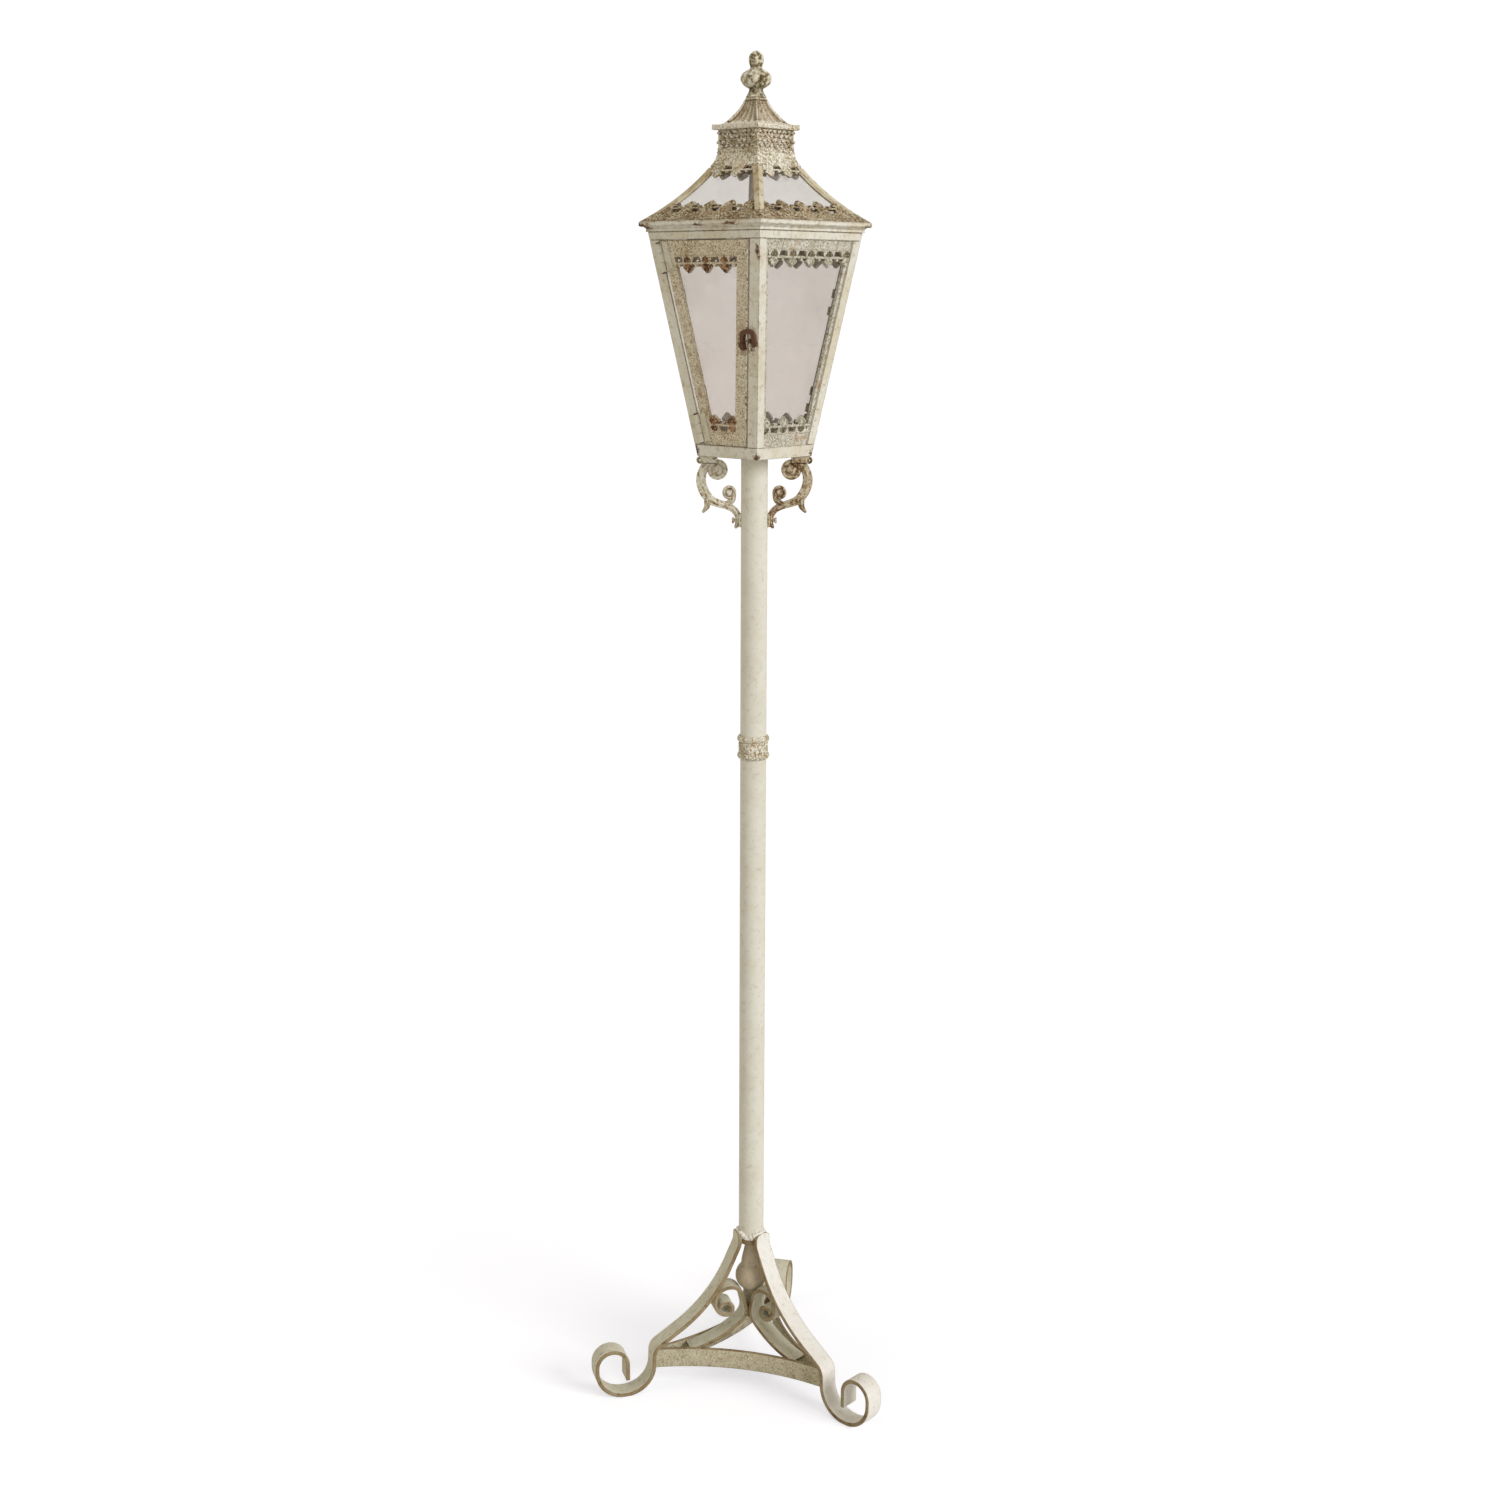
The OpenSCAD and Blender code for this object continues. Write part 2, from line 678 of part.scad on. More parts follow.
stop_half = 30;
stop_drop = 6;
module top_rail() {
    color(PAINT) {
        for (k = [0:3])
            on_side(k) layer(0, sheet_t) face_strip(wall_w, wall_w + fascia_w - seam, 0);
        // strip behind the head of the door, which stops it
        on_side(0)
            translate([-stop_half, wall_w - stop_drop, -frame_t - 0.4 - 2])
                cube([2 * stop_half, stop_drop + fascia_w - 2, 2]);
        on_side(0)
            translate([-stop_half, wall_w + 1, -frame_t - 1])
                cube([2 * stop_half, fascia_w - 3, frame_t - 1]);
    }
}

// Mitred moulding round the square: the children are its section, x out from the axis, y up
module moulding(far) {
    for (k = [0:3])
        rotate([0, 0, 90 * k])
            intersection() {
                rotate([90, 0, 0]) linear_extrude(2 * far, center = true) children();
                mitre(far);
            }
}

// Sector of the square that belongs to the side at +X, cut back from the corners by inset
module mitre(far, inset = 0) {
    linear_extrude(finial_z * 1.1)
        polygon([[inset, 0], [far * 2, -far * 2 + inset], [far * 2, far * 2 - inset]]);
}

module cornice() {
    step = cornice_h * 0.3;
    inner = head_half - 8;
    color(PAINT)
        moulding(cornice_half)
            translate([0, cornice_z])
                polygon([[inner, 0], [head_half + 1.6, 0], [head_half + 1.6, step],
                    [head_half + 3.4, cornice_h * 0.47], [cornice_half - 1, cornice_h * 0.5],
                    [cornice_half, cornice_h * 0.58], [cornice_half, cornice_h - 1],
                    [cornice_half - 1, cornice_h - fit], [inner, cornice_h - fit]]);
}

// ---- Pierced galleries --------------------------------------------------------------

// Spade-shaped leaf that hangs from y = 0
module leaf() {
    polygon([[-leaf_half * 0.62, 1], [-leaf_half * 0.66, 0], [-leaf_half, -leaf_h * 0.24],
        [-leaf_half * 0.56, -leaf_h * 0.62], [0, -leaf_h], [leaf_half * 0.56, -leaf_h * 0.62],
        [leaf_half, -leaf_h * 0.24], [leaf_half * 0.66, 0], [leaf_half * 0.62, 1]]);
}

// Piercing with slanted ends, narrower at its top
module piercing() {
    polygon([[-piercing_w / 2 - 0.8, -piercing_h / 2], [piercing_w / 2 + 0.8, -piercing_h / 2],
        [piercing_w / 2 - 1.2, piercing_h / 2], [1.2 - piercing_w / 2, piercing_h / 2]]);
}

// Pierced row below y = 0, with a leaf under each solid place and a knob between the leaves;
// leaves at first + whole pitches
module lace(half, pitch, first, count) {
    difference() {
        translate([-half, -gallery_row]) square([2 * half, gallery_row + 0.01]);
        for (i = [-1:count - 1])
            translate([first + (i + 0.5) * pitch, -gallery_row * 0.42]) piercing();
    }
    for (i = [0:count - 1]) translate([first + i * pitch, -gallery_row]) leaf();
    for (i = [-1:count - 1])
        translate([first + (i + 0.5) * pitch, -gallery_row - 0.9]) disc(1.9);
}

// Cast frame behind the posts of a fixed side, with a pierced gallery at head and foot
module side_frame(k) {
    lip = 2;
    head_first = -1.82 * leaf_pitch;
    foot_first = -1.18 * leaf_pitch;
    color(RUST)
        on_side(k) layer(sheet_t + fit, frame_back)
            intersection() {
                face_strip(rail_w + fit - 6, wall_w - fit, frame_back + 1);
                union() {
                    difference() {
                        face_strip(rail_w + fit - 6, wall_w - fit, frame_back + 1);
                        face_strip(rail_w + sill_band, wall_w - gallery_band, post_w + lip);
                    }
                    translate([0, wall_w - gallery_band])
                        lace(half_at(wall_w), leaf_pitch, head_first, 5);
                    translate([0, rail_w + sill_band])
                        mirror([0, 1]) lace(half_at(0), leaf_pitch, foot_first, 3);
                }
            }
}

pane_in = frame_back + 5;              // distance of a fixed pane's edge from the corner edge
module pane(k) {
    color(GLASS)
        on_side(k) layer(frame_back + fit, frame_back + fit + glass_t)
            face_strip(rail_w + 3, wall_w - 5, pane_in);
}

// Clip that holds a pane: a foot beside the glass and a tongue over it; x points at the glass
module clip(depth) {
    translate([-3, -clip_l / 2, -depth - glass_t - 2 * fit])
        cube([2.6, clip_l, glass_t + 2 * fit - 0.02]);
    translate([-3, -clip_l / 2, -depth - glass_t - 2 * fit - clip_t])
        cube([8, clip_l, clip_t]);
}

// Four clips on the slanted edges of a pane, moved along them by a shift
module clips(depth, inset, shift = 0) {
    for (w = [wall_w * 0.3 + shift, wall_w * 0.75 + shift], s = [0, 1])
        mirror([s, 0, 0])
            translate([-half_at(w) + inset, w, 0]) rotate([0, 0, skew]) clip(depth);
}

module pane_clips() {
    color(DARK_RUST)
        for (k = [1:3])
            on_side(k) clips(frame_back, pane_in, k == 2 ? -2 * clip_l : 0);
}

// ---- Door ---------------------------------------------------------------------------

door_in = post_w + door_gap;           // distance of the door's edge from the corner edge
door_low = rail_w + door_gap;
door_high = wall_w - door_gap;
door_glass_in = door_in + 9;

module door_frame() {
    color(PAINT)
        on_side(0)
            difference() {
                layer(0, frame_t)
                    intersection() {
                        face_strip(door_low, door_high, door_in);
                        union() {
                            difference() {
                                face_strip(door_low, door_high, door_in);
                                face_strip(door_low + sill_band,
                                    door_high - door_rail - gallery_band, door_in + stile_w);
                            }
                            translate([0, door_high - door_rail - gallery_band])
                                lace(half_at(wall_w), door_leaf_pitch, -2 * door_leaf_pitch, 5);
                            translate([0, door_low + sill_band])
                                mirror([0, 1])
                                    lace(half_at(0), door_leaf_pitch, -1.5 * door_leaf_pitch, 4);
                        }
                    }
                on_latch_local() translate([0, 0, -frame_t - 1])
                    cylinder(h = frame_t + 2, r = rivet_r + 0.02);
            }
}

module door_pane() {
    color(GLASS)
        on_side(0) layer(frame_t + fit, frame_t + fit + glass_t)
            face_strip(door_low + 5, door_high - 8, door_glass_in);
}

module door_clips() {
    color(DARK_RUST) on_side(0) clips(frame_t, door_glass_in);
}

// Hinge line: x towards the door, y up along the pin, z outwards, zero on the pin's axis
barrel_lift = barrel_r + 0.3;
module on_hinge(w) {
    on_side(0)
        translate([-(foot_half - post_w - door_gap / 2), 0, barrel_lift])
            rotate([0, 0, skew]) translate([0, w, 0]) children();
}

hinge_w = [rail_w + hinge_low_w, wall_w / cos(skew) - hinge_len - hinge_low_w];
knuckle = hinge_len / 3;

// Knuckle number j of three with its web and leaf; s is -1 on the post and 1 on the door
module knuckle_at(j, s) {
    y0 = j * knuckle + knuckle_fit / 2;
    h = knuckle - knuckle_fit;
    translate([0, y0, 0]) rotate([-90, 0, 0]) cylinder(h = h, r = barrel_r);
    translate([s > 0 ? door_gap / 2 + 0.1 : -barrel_r - 0.6, y0, -barrel_lift])
        cube([barrel_r + 0.5 - door_gap / 2, h, leaf_t]);
}

module hinge_leaf(s, rows, w) {
    start = barrel_r + 0.5;
    difference() {
        union() {
            for (j = rows) knuckle_at(j, s);
            translate([s > 0 ? start : -start - w, 0, -barrel_lift])
                cube([w, hinge_len, leaf_t]);
        }
        translate([0, -1, 0]) rotate([-90, 0, 0]) cylinder(h = hinge_len + 2, r = pin_r + pin_fit);
    }
}

module hinge_leaves_post() {
    color(PAINT) for (w = hinge_w) on_hinge(w) hinge_leaf(-1, [0, 2], post_w - barrel_r - 1.4);
}

module hinge_leaves_door() {
    color(PAINT) for (w = hinge_w) on_hinge(w) hinge_leaf(1, [1], 9);
}

module hinge_pins() {
    color(DARK_RUST)
        for (w = hinge_w)
            on_hinge(w)
                rotate([-90, 0, 0]) {
                    translate([0, 0, -0.4]) cylinder(h = hinge_len + 0.8, r = pin_r);
                    for (z = [-1.4, hinge_len + 0.2])
                        translate([0, 0, z]) cylinder(h = 1.2, r = pin_r + 0.9);
                }
}

// ---- Latch --------------------------------------------------------------------------

latch_in = 22;                         // distance of the pivot from the near corner edge
peg_swing = latch_reach - latch_bar / 2 - rivet_r - latch_fit;   // pivot to peg, clear of the hook
peg_at = [sqrt(peg_swing * peg_swing - peg_rise * peg_rise), peg_rise];

module on_latch_local() {
    translate([half_at(latch_w) - latch_in, latch_w, 0]) children();
}

module on_peg() {
    on_side(0) on_latch_local() translate([peg_at.x, peg_at.y, 0]) children();
}

// Flat hook: from its pivot eye up, across the gap and down beyond the peg
module latch_hook() {
    end_y = latch_bar * 0.6;
    line = bent([[0, 0], [0, latch_rise], [latch_reach, latch_rise], [latch_reach, end_y]],
        [0, 9, 7, 0]);
    color(DARK_RUST)
        on_side(0) on_latch_local()
            translate([0, 0, latch_fit])
                difference() {
                    linear_extrude(latch_t) {
                        bar(line, latch_bar / 2, -latch_bar / 2);
                        disc(latch_bar * 0.85);
                        translate([latch_reach + latch_bar * 0.12, end_y]) disc(latch_bar * 0.62);
                    }
                    translate([0, 0, -1]) cylinder(h = latch_t + 2, r = rivet_r + pin_fit);
                }
}

module latch_rivet() {
    color(DARK_RUST)
        on_side(0) on_latch_local() {
            translate([0, 0, -frame_t - 0.8]) cylinder(h = frame_t + latch_t + 2, r = rivet_r);
            translate([0, 0, latch_fit + latch_t + 0.3]) cylinder(h = 1.2, r = rivet_r + 1.3);
            translate([0, 0, -frame_t - 1.2]) cylinder(h = 1.1, r = rivet_r + 1.2);
        }
}

module latch_peg() {
    color(DARK_RUST)
        on_peg() {
            translate([0, 0, -sheet_t - 0.6]) cylinder(h = sheet_t + latch_t + 1.4, r = rivet_r);
            translate([0, 0, -sheet_t - 1.4]) cylinder(h = 1.3, r = rivet_r + 1);
        }
}

// ---- Roof ---------------------------------------------------------------------------

roof_line = arc_points([roof_head_half, neck_z], [roof_foot_half, roof_z], -roof_sag, 12);
neck_line = arc_points([band_half + 0.4, band_z], [roof_head_half, neck_z], -neck_h / 12, 6);

// Roof sheet of one side between two depths, x outwards from the axis, y up
module roof_sheet(d0, d1) {
    bar(roof_line, -d0, -d1);
}

// Section of one side drawn out along the side, within its mitred sector
module roof_side(k, inset = 0) {
    rotate([0, 0, 90 * k - 90])
        intersection() {
            rotate([90, 0, 0]) linear_extrude(2 * roof_foot_half, center = true) children();
            mitre(roof_foot_half, inset);
        }
}

// Flat pattern seen square to side k, x along the side and y the height
module seen_from(k) {
    rotate([0, 0, 90 * k])
        rotate([90, 0, 0]) linear_extrude(roof_foot_half + 5) children();
}

rib_low_z = gallery_z + fit;
roof_shift = -3.5;                     // of the roof's leaves from the middle of a side
rib_high_z = neck_z - 2;
module roof_rib(a) {
    color(PAINT)
        intersection() {
            union() {
                for (k = [a, a + 1]) roof_side(k) roof_sheet(0, roof_t);
            }
            rotate([0, 0, 90 * a - 45])
                translate([0, -rib_w / 2, rib_low_z])
                    cube([2 * roof_foot_half, rib_w, rib_high_z - rib_low_z]);
        }
}

module roof_pane(k) {
    color(GLASS)
        intersection() {
            roof_side(k, 4) roof_sheet(roof_t + fit, roof_t + fit + glass_t);
            translate([-roof_foot_half, -roof_foot_half, roof_z + 1])
                cube([2 * roof_foot_half, 2 * roof_foot_half, roof_h - 3]);
        }
}

// Cast skirt round the foot of the roof: a band and a pierced row with leaves that point up
module roof_skirt() {
    rib_clear = rib_w / 2 * sqrt(2) + fit * 2;
    color(RUST) {
        for (k = [0:3]) {
            intersection() {
                roof_side(k) roof_sheet(0, roof_t);
                seen_from(k) translate([-roof_foot_half, roof_z])
                    square([2 * roof_foot_half, gallery_z - roof_z]);
            }
            intersection() {
                roof_side(k, rib_clear) roof_sheet(0, roof_t);
                seen_from(k) translate([0, gallery_z - 0.5])
                    mirror([0, 1]) scale([1, 0.68])
                        lace(roof_foot_half, leaf_pitch, roof_shift - 3 * leaf_pitch, 7);
            }
        }
    }
}

// Cast neck between roof and vent band, with leaves that hang over the glass
module roof_neck() {
    rib_clear = rib_w / 2 * sqrt(2) + fit * 2;
    ledge = [roof_head_half - roof_t * 1.75, roof_head_half - roof_t * 0.05];
    color(RUST) {
        // ledge inside, which joins the neck and its leaves whatever the roof's slope
        moulding(roof_head_half)
            polygon([[ledge[0], rib_high_z + 0.15], [ledge[1], rib_high_z + 0.15],
                [ledge[1] - 0.4, neck_z + 0.3], [ledge[0], neck_z + 1.2]]);
        for (k = [0:3]) {
            roof_side(k) bar(neck_line, 0, -roof_t);
            intersection() {
                roof_side(k, rib_clear) roof_sheet(0, roof_t);
                seen_from(k) translate([0, neck_z + 0.2])
                    scale([0.98, 0.7])
                        lace(roof_foot_half, leaf_pitch, 2 * roof_shift - leaf_pitch / 2, 2);
            }
        }
    }
}

// Square vent band with rows of drilled holes
module vent_band() {
    wall = 2;
    pitch_u = (2 * band_half - 5) / vent_cols;
    pitch_v = (band_h - 2) / (vent_rows + 0.4);
    color(RUST)
        translate([0, 0, band_z + fit])
            difference() {
                translate([-band_half, -band_half, 0])
                    cube([2 * band_half, 2 * band_half, band_h - 2 * fit]);
                translate([-band_half + wall, -band_half + wall, -1])
                    cube([2 * (band_half - wall), 2 * (band_half - wall), band_h + 2]);
                for (a = [0, 90], i = [0:vent_cols - 1], j = [0:vent_rows - 1])
                    rotate([0, 0, a])
                        translate([(i + 0.5 - vent_cols / 2) * pitch_u, 0,
                            band_h / 2 + (j + 0.5 - vent_rows / 2) * pitch_v])
                            rotate([90, 0, 0])
                                cylinder(h = 2 * band_half + 2, r = vent_r, center = true, $fn = 24);
            }
}

// Closed surface from rows of equally long rings, lowest row first; a hollow one goes round
// from its last row, inside a bore, back to its first
module lathe_like(rows, hollow = false) {
    n = len(rows[0]);
    m = len(rows);
    points = [for (row = rows, p = row) p];
    sides = [for (j = [0:m - (hollow ? 1 : 2)], i = [0:n - 1])
        let (a = j * n + i, b = j * n + (i + 1) % n, c = ((j + 1) % m) * n + i,
            d = ((j + 1) % m) * n + (i + 1) % n)
        each [[a, c, d], [a, d, b]]];
    caps = [for (i = [1:n - 2]) each [[0, i, i + 1],
        [(m - 1) * n, (m - 1) * n + i + 1, (m - 1) * n + i]]];
    polyhedron(points = points, faces = concat(sides, hollow ? [] : caps));
}

// Ring of a square with half diagonal d, rippled by flutes of the given depth
crown_flutes = 16;
crown_steps = 64;
function crown_ring(d, z, depth) = [for (i = [0:crown_steps - 1])
    let (a = 360 * i / crown_steps,
        edge = d / sqrt(2) / max(abs(cos(a)), abs(sin(a))),
        r = edge + depth * (cos(crown_flutes * a) - 1))
    [r * cos(a), r * sin(a), z]];

// Ring of a round bore with the same number of points
function bore_ring(r, z) = [for (i = [0:crown_steps - 1])
    let (a = 360 * i / crown_steps) [r * cos(a), r * sin(a), z]];

module crown() {
    slope = arc_points([crown_brim - 3, 6.5], [crown_top, crown_h - fit], 7, 6);
    bore = rod_r + plug_fit;
    color(RUST)
        translate([0, 0, crown_z])
            lathe_like(concat(
                [crown_ring(crown_brim - 6, fit, 0), crown_ring(crown_brim, 2, 1.2)],
                [for (i = [0:len(slope) - 1])
                    crown_ring(slope[i].x, slope[i].y, 1.1 * (1 - i / (len(slope) - 1)))],
                [bore_ring(bore, crown_h - fit), bore_ring(bore, fit)]), hollow = true);
}

// Rod that ties the crown to a bar across the foot of the vent band
module crown_rod() {
    bar_half = band_half - 2 - fit;
    color("dimgray") {
        translate([-bar_half, -5, band_z + 1]) cube([2 * bar_half, 10, 3]);
        translate([0, 0, band_z + 3]) cylinder(h = band_h + crown_h + 5, r = rod_r);
    }
}

// Finial: collar, stem, lobed bulb and bud, tapped for the rod
module finial() {
    bulb_low = 8;
    bulb_high = 29;
    neck = 6;
    function bulb_ring(t) =
        let (z = bulb_low + (bulb_high - bulb_low) * t,
            r = neck + 2.4 + (bulb_r - neck - 2.4) * pow(sin(180 * pow(t, 1.18)), 0.8))
        [for (i = [0:47])
            let (a = 360 * i / 48, s = r - 1.6 * sin(180 * t) * (1 - abs(cos(a * lobes / 2))))
            [s * cos(a), s * sin(a), z]];
    color(RUST)
        translate([0, 0, finial_z])
            difference() {
                union() {
                    rotate_extrude()
                        polygon([[0, fit], [10.2, fit], [10.2, 3], [8, 4.6], [7.6, 6.5],
                            [8.6, bulb_low + 0.6], [0, bulb_low + 0.6]]);
                    lathe_like([for (j = [0:10]) bulb_ring(0.02 + 0.96 * j / 10)]);
                    translate([0, 0, bulb_high - 0.8])
                        rotate_extrude()
                            polygon([[0, 0], [7.6, 0], [neck, 2.6], [neck + 1.4, 5],
                                [8.7, finial_h - bulb_high - 8.6], [7.8, finial_h - bulb_high - 5],
                                [4.6, finial_h - bulb_high - 1.4], [2, finial_h - bulb_high + 0.4],
                                [0, finial_h - bulb_high + 0.8]]);
                }
                translate([0, 0, -1]) cylinder(h = 10, r = rod_r + plug_fit);
            }
}

// ---- Nodes --------------------------------------------------------------------------

leg(0);  // leg_right
leg(1);  // leg_back
leg(2);  // leg_front
stretcher(0);  // stretcher_back
stretcher(1);  // stretcher_left
stretcher(2);  // stretcher_front
inner_scroll(0);  // inner_scroll_right
inner_scroll(1);  // inner_scroll_back
inner_scroll(2);  // inner_scroll_front
tube_plug();
pendant();
pole_lower();
pole_coupler();
pole_upper();
joint_collar();
pole_head_plug();
stud_nut();
bracket(225);  // bracket_left
bracket(45);  // bracket_right
bracket_screws();
bottom_rail();
floor_pan();
candle_dish();
post(0, peg = true);  // post_front_right
post(1);  // post_back_right
post(2);  // post_back_left
post(3);  // post_front_left
top_rail();
cornice();
side_frame(1);  // side_frame_right
side_frame(2);  // side_frame_back
side_frame(3);  // side_frame_left
pane(1);  // pane_right
pane(2);  // pane_back
pane(3);  // pane_left
pane_clips();
door_frame();
door_pane();
door_clips();
hinge_leaves_post();
hinge_leaves_door();
hinge_pins();
latch_hook();
latch_rivet();
latch_peg();
roof_skirt();
roof_rib(0);  // roof_rib_front_right
roof_rib(1);  // roof_rib_back_right
roof_rib(2);  // roof_rib_back_left
roof_rib(3);  // roof_rib_front_left
roof_pane(0);  // roof_pane_front
roof_pane(1);  // roof_pane_right
roof_pane(2);  // roof_pane_back
roof_pane(3);  // roof_pane_left
roof_neck();
vent_band();
crown();
crown_rod();
finial();
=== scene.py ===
import math

import bmesh
import bpy
import numpy as np
from mathutils import Matrix


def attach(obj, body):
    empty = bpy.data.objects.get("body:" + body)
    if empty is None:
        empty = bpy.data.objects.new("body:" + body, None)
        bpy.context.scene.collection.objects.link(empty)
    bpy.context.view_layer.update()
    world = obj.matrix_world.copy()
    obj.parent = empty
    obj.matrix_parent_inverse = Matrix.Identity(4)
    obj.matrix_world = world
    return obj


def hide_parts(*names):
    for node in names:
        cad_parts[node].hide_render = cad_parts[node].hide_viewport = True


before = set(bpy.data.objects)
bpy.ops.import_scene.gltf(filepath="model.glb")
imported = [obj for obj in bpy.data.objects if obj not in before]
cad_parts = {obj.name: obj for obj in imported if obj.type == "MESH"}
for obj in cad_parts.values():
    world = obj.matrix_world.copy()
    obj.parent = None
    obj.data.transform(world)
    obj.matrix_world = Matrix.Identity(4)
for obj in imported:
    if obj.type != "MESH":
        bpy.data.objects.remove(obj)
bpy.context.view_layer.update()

# ---- Camera ----
# Stands 2.4 m from the pole, in front of the lantern's near corner, and looks down a little.
# Its place and lens come from the pole, the legs and the lantern's corners in the photograph.

def placed(name, data):
    """New object in the scene."""
    thing = bpy.data.objects.new(name, data)
    bpy.context.scene.collection.objects.link(thing)
    return thing


away, aside, eye_z = 2.4135, -0.00395, 1.3815  # m
turn = math.radians(42.888)  # from looking along +Y
tip = math.radians(90 - 12.717)  # from looking straight down
roll = math.radians(0.2314)
camera = placed("camera", bpy.data.cameras.new("camera"))
camera.data.sensor_width, camera.data.lens = 36.0, 48.61  # mm, of a square frame
camera.matrix_world = (
    Matrix.Translation((aside * math.cos(turn) + away * math.sin(turn),
                        aside * math.sin(turn) - away * math.cos(turn), eye_z))
    @ Matrix.Rotation(turn, 4, "Z") @ Matrix.Rotation(tip, 4, "X") @ Matrix.Rotation(roll, 4, "Z"))
bpy.context.scene.camera = camera
bpy.context.scene.view_settings.view_transform = "Standard"


# ---- Floor and light ----
# White seamless floor. It glows a little for the camera alone, so it meets the white
# surroundings without an edge and still shows the lamp's soft shadow.

def linear(code):
    """Linear RGBA of an sRGB hex colour."""
    c = np.array([int(code[i:i + 2], 16) for i in (1, 3, 5)]) / 255
    c = np.where(c <= 0.04045, c / 12.92, ((c + 0.055) / 1.055) ** 2.4)
    return (*c.tolist(), 1.0)


def add(tree, kind, *values, out=0, **settings):
    """Adds a shader node and gives an output. Values or sockets fill its inputs in their order;
    a setting is the node's own, or else an input by its name or number (n6 is input 6)."""
    node = tree.nodes.new("ShaderNode" + kind)
    for key, value in {**settings, **{f"n{i}": v for i, v in enumerate(values)}}.items():
        if hasattr(node, key):
            setattr(node, key, value)
            continue
        socket = node.inputs[int(key[1:]) if key[1:].isdigit() else key.replace("_", " ")]
        if isinstance(value, bpy.types.NodeSocket):
            tree.links.new(value, socket)
        else:
            socket.default_value = value
    return node.outputs[out]


def surface(material, shader):
    """Makes shader what the material shows, and gives the material."""
    output = material.node_tree.nodes.new("ShaderNodeOutputMaterial")
    material.node_tree.links.new(shader, output.inputs["Surface"])
    return material


def blank(name):
    """New material and its node tree, emptied."""
    material = bpy.data.materials.new(name)
    material.use_nodes = True
    material.node_tree.nodes.clear()
    return material, material.node_tree


# matt white board, even and without gloss
seamless, tree = blank("seamless_white_board")
seen = add(tree, "Math", add(tree, "LightPath"), 0.53, operation="MULTIPLY")
glow = add(tree, "Emission", (0.86, 0.88, 1, 1), seen)
board = add(tree, "BsdfDiffuse", (0.82, 0.82, 0.82, 1))
surface(seamless, add(tree, "AddShader", board, glow))
reach = 40.0  # m, from the pole to the floor's sides
floor_mesh = bpy.data.meshes.new("floor")
floor_mesh.from_pydata([(-reach, -reach, 0), (reach, -reach, 0), (reach, reach, 0),
                        (-reach, reach, 0)], [], [(0, 1, 2, 3)])
floor_mesh.materials.append(seamless)
floor = placed("floor", floor_mesh)

# the world is warm and weak as light, and white where it is seen, mirrored or looked through to
world = bpy.data.worlds.new("studio")
bpy.context.scene.world = world
world.use_nodes = True
tree = world.node_tree
tree.nodes.clear()
rays = add(tree, "LightPath").node.outputs
shown = rays["Is Camera Ray"]
for ray in ("Is Glossy Ray", "Is Transmission Ray"):
    shown = add(tree, "Math", shown, rays[ray], operation="MAXIMUM")
soft = add(tree, "Background", (1.0, 0.94, 0.78, 1), 0.44)
white = add(tree, "Background", (1, 1, 1, 1), 1.015)
output = tree.nodes.new("ShaderNodeOutputWorld")
tree.links.new(add(tree, "MixShader", shown, soft, white), output.inputs["Surface"])


def broad_sun(name, bearing, height, strength, colour):
    """Sun 30 degrees wide, like a large window, at a bearing from +X and a height, in degrees;
    strength is what it adds to a white surface that faces it."""
    lamp = bpy.data.lights.new(name, "SUN")
    lamp.energy, lamp.color, lamp.angle = strength * math.pi, colour, math.radians(30)
    holder = placed(name, lamp)
    holder.matrix_world = (Matrix.Rotation(math.radians(bearing + 90), 4, "Z")
                           @ Matrix.Rotation(math.radians(90 - height), 4, "X"))


broad_sun("key_light", 4, 24, 0.56, (0.98, 0.99, 1.0))
broad_sun("fill_light", -115, 28, 0.09, (1.0, 0.90, 0.70))


# ---- Legs ----
# Three legs of 25 mm flat bar, bent cold into a long inward curve, a knee and a scrolled
# foot, and welded to the pole at the top. Aged antique-white paint over iron.

MM = 0.001
# a smooth step from one value to another, and clamped sums
smooth = {"interpolation_type": "SMOOTHSTEP"}
times, plus, minus = ({"operation": word, "use_clamp": True}
                      for word in ("MULTIPLY", "ADD", "SUBTRACT"))


def layered(tree, colour, *layers):
    """Hex colour under layers of (share, hex colour): each covers it by its share, or, where a
    third word says glaze, darkens it by its share instead."""
    colour = linear(colour)
    for share, over, *glaze in layers:
        colour = add(tree, "Mix", out=2, data_type="RGBA", n0=share, n6=colour, n7=linear(over),
                     blend_type="MULTIPLY" if glaze else "MIX")
    return colour


def blotches(tree, at, scale, detail=4.0, rough=0.6, seed=0.0):
    """Noise around 0.5 whose blotches are about 1000 / scale mm across."""
    moved = add(tree, "VectorMath", at, (seed, seed * 0.7, seed * 1.3), operation="ADD")
    return add(tree, "TexNoise", Vector=moved, Scale=scale, Detail=detail, Roughness=rough)


def worn_edges(tree, radius):
    """The normal with edges bevelled by a radius in metres, and how far it turns from the plain
    one: 0 on flat faces, up to 1 on sharp outer edges."""
    bevel = add(tree, "Bevel", radius, samples=4)
    plain = add(tree, "NewGeometry", out=1)
    same = add(tree, "VectorMath", bevel, plain, out=1, operation="DOT_PRODUCT")
    return bevel, add(tree, "MapRange", same, 0.995, 0.90, **smooth)


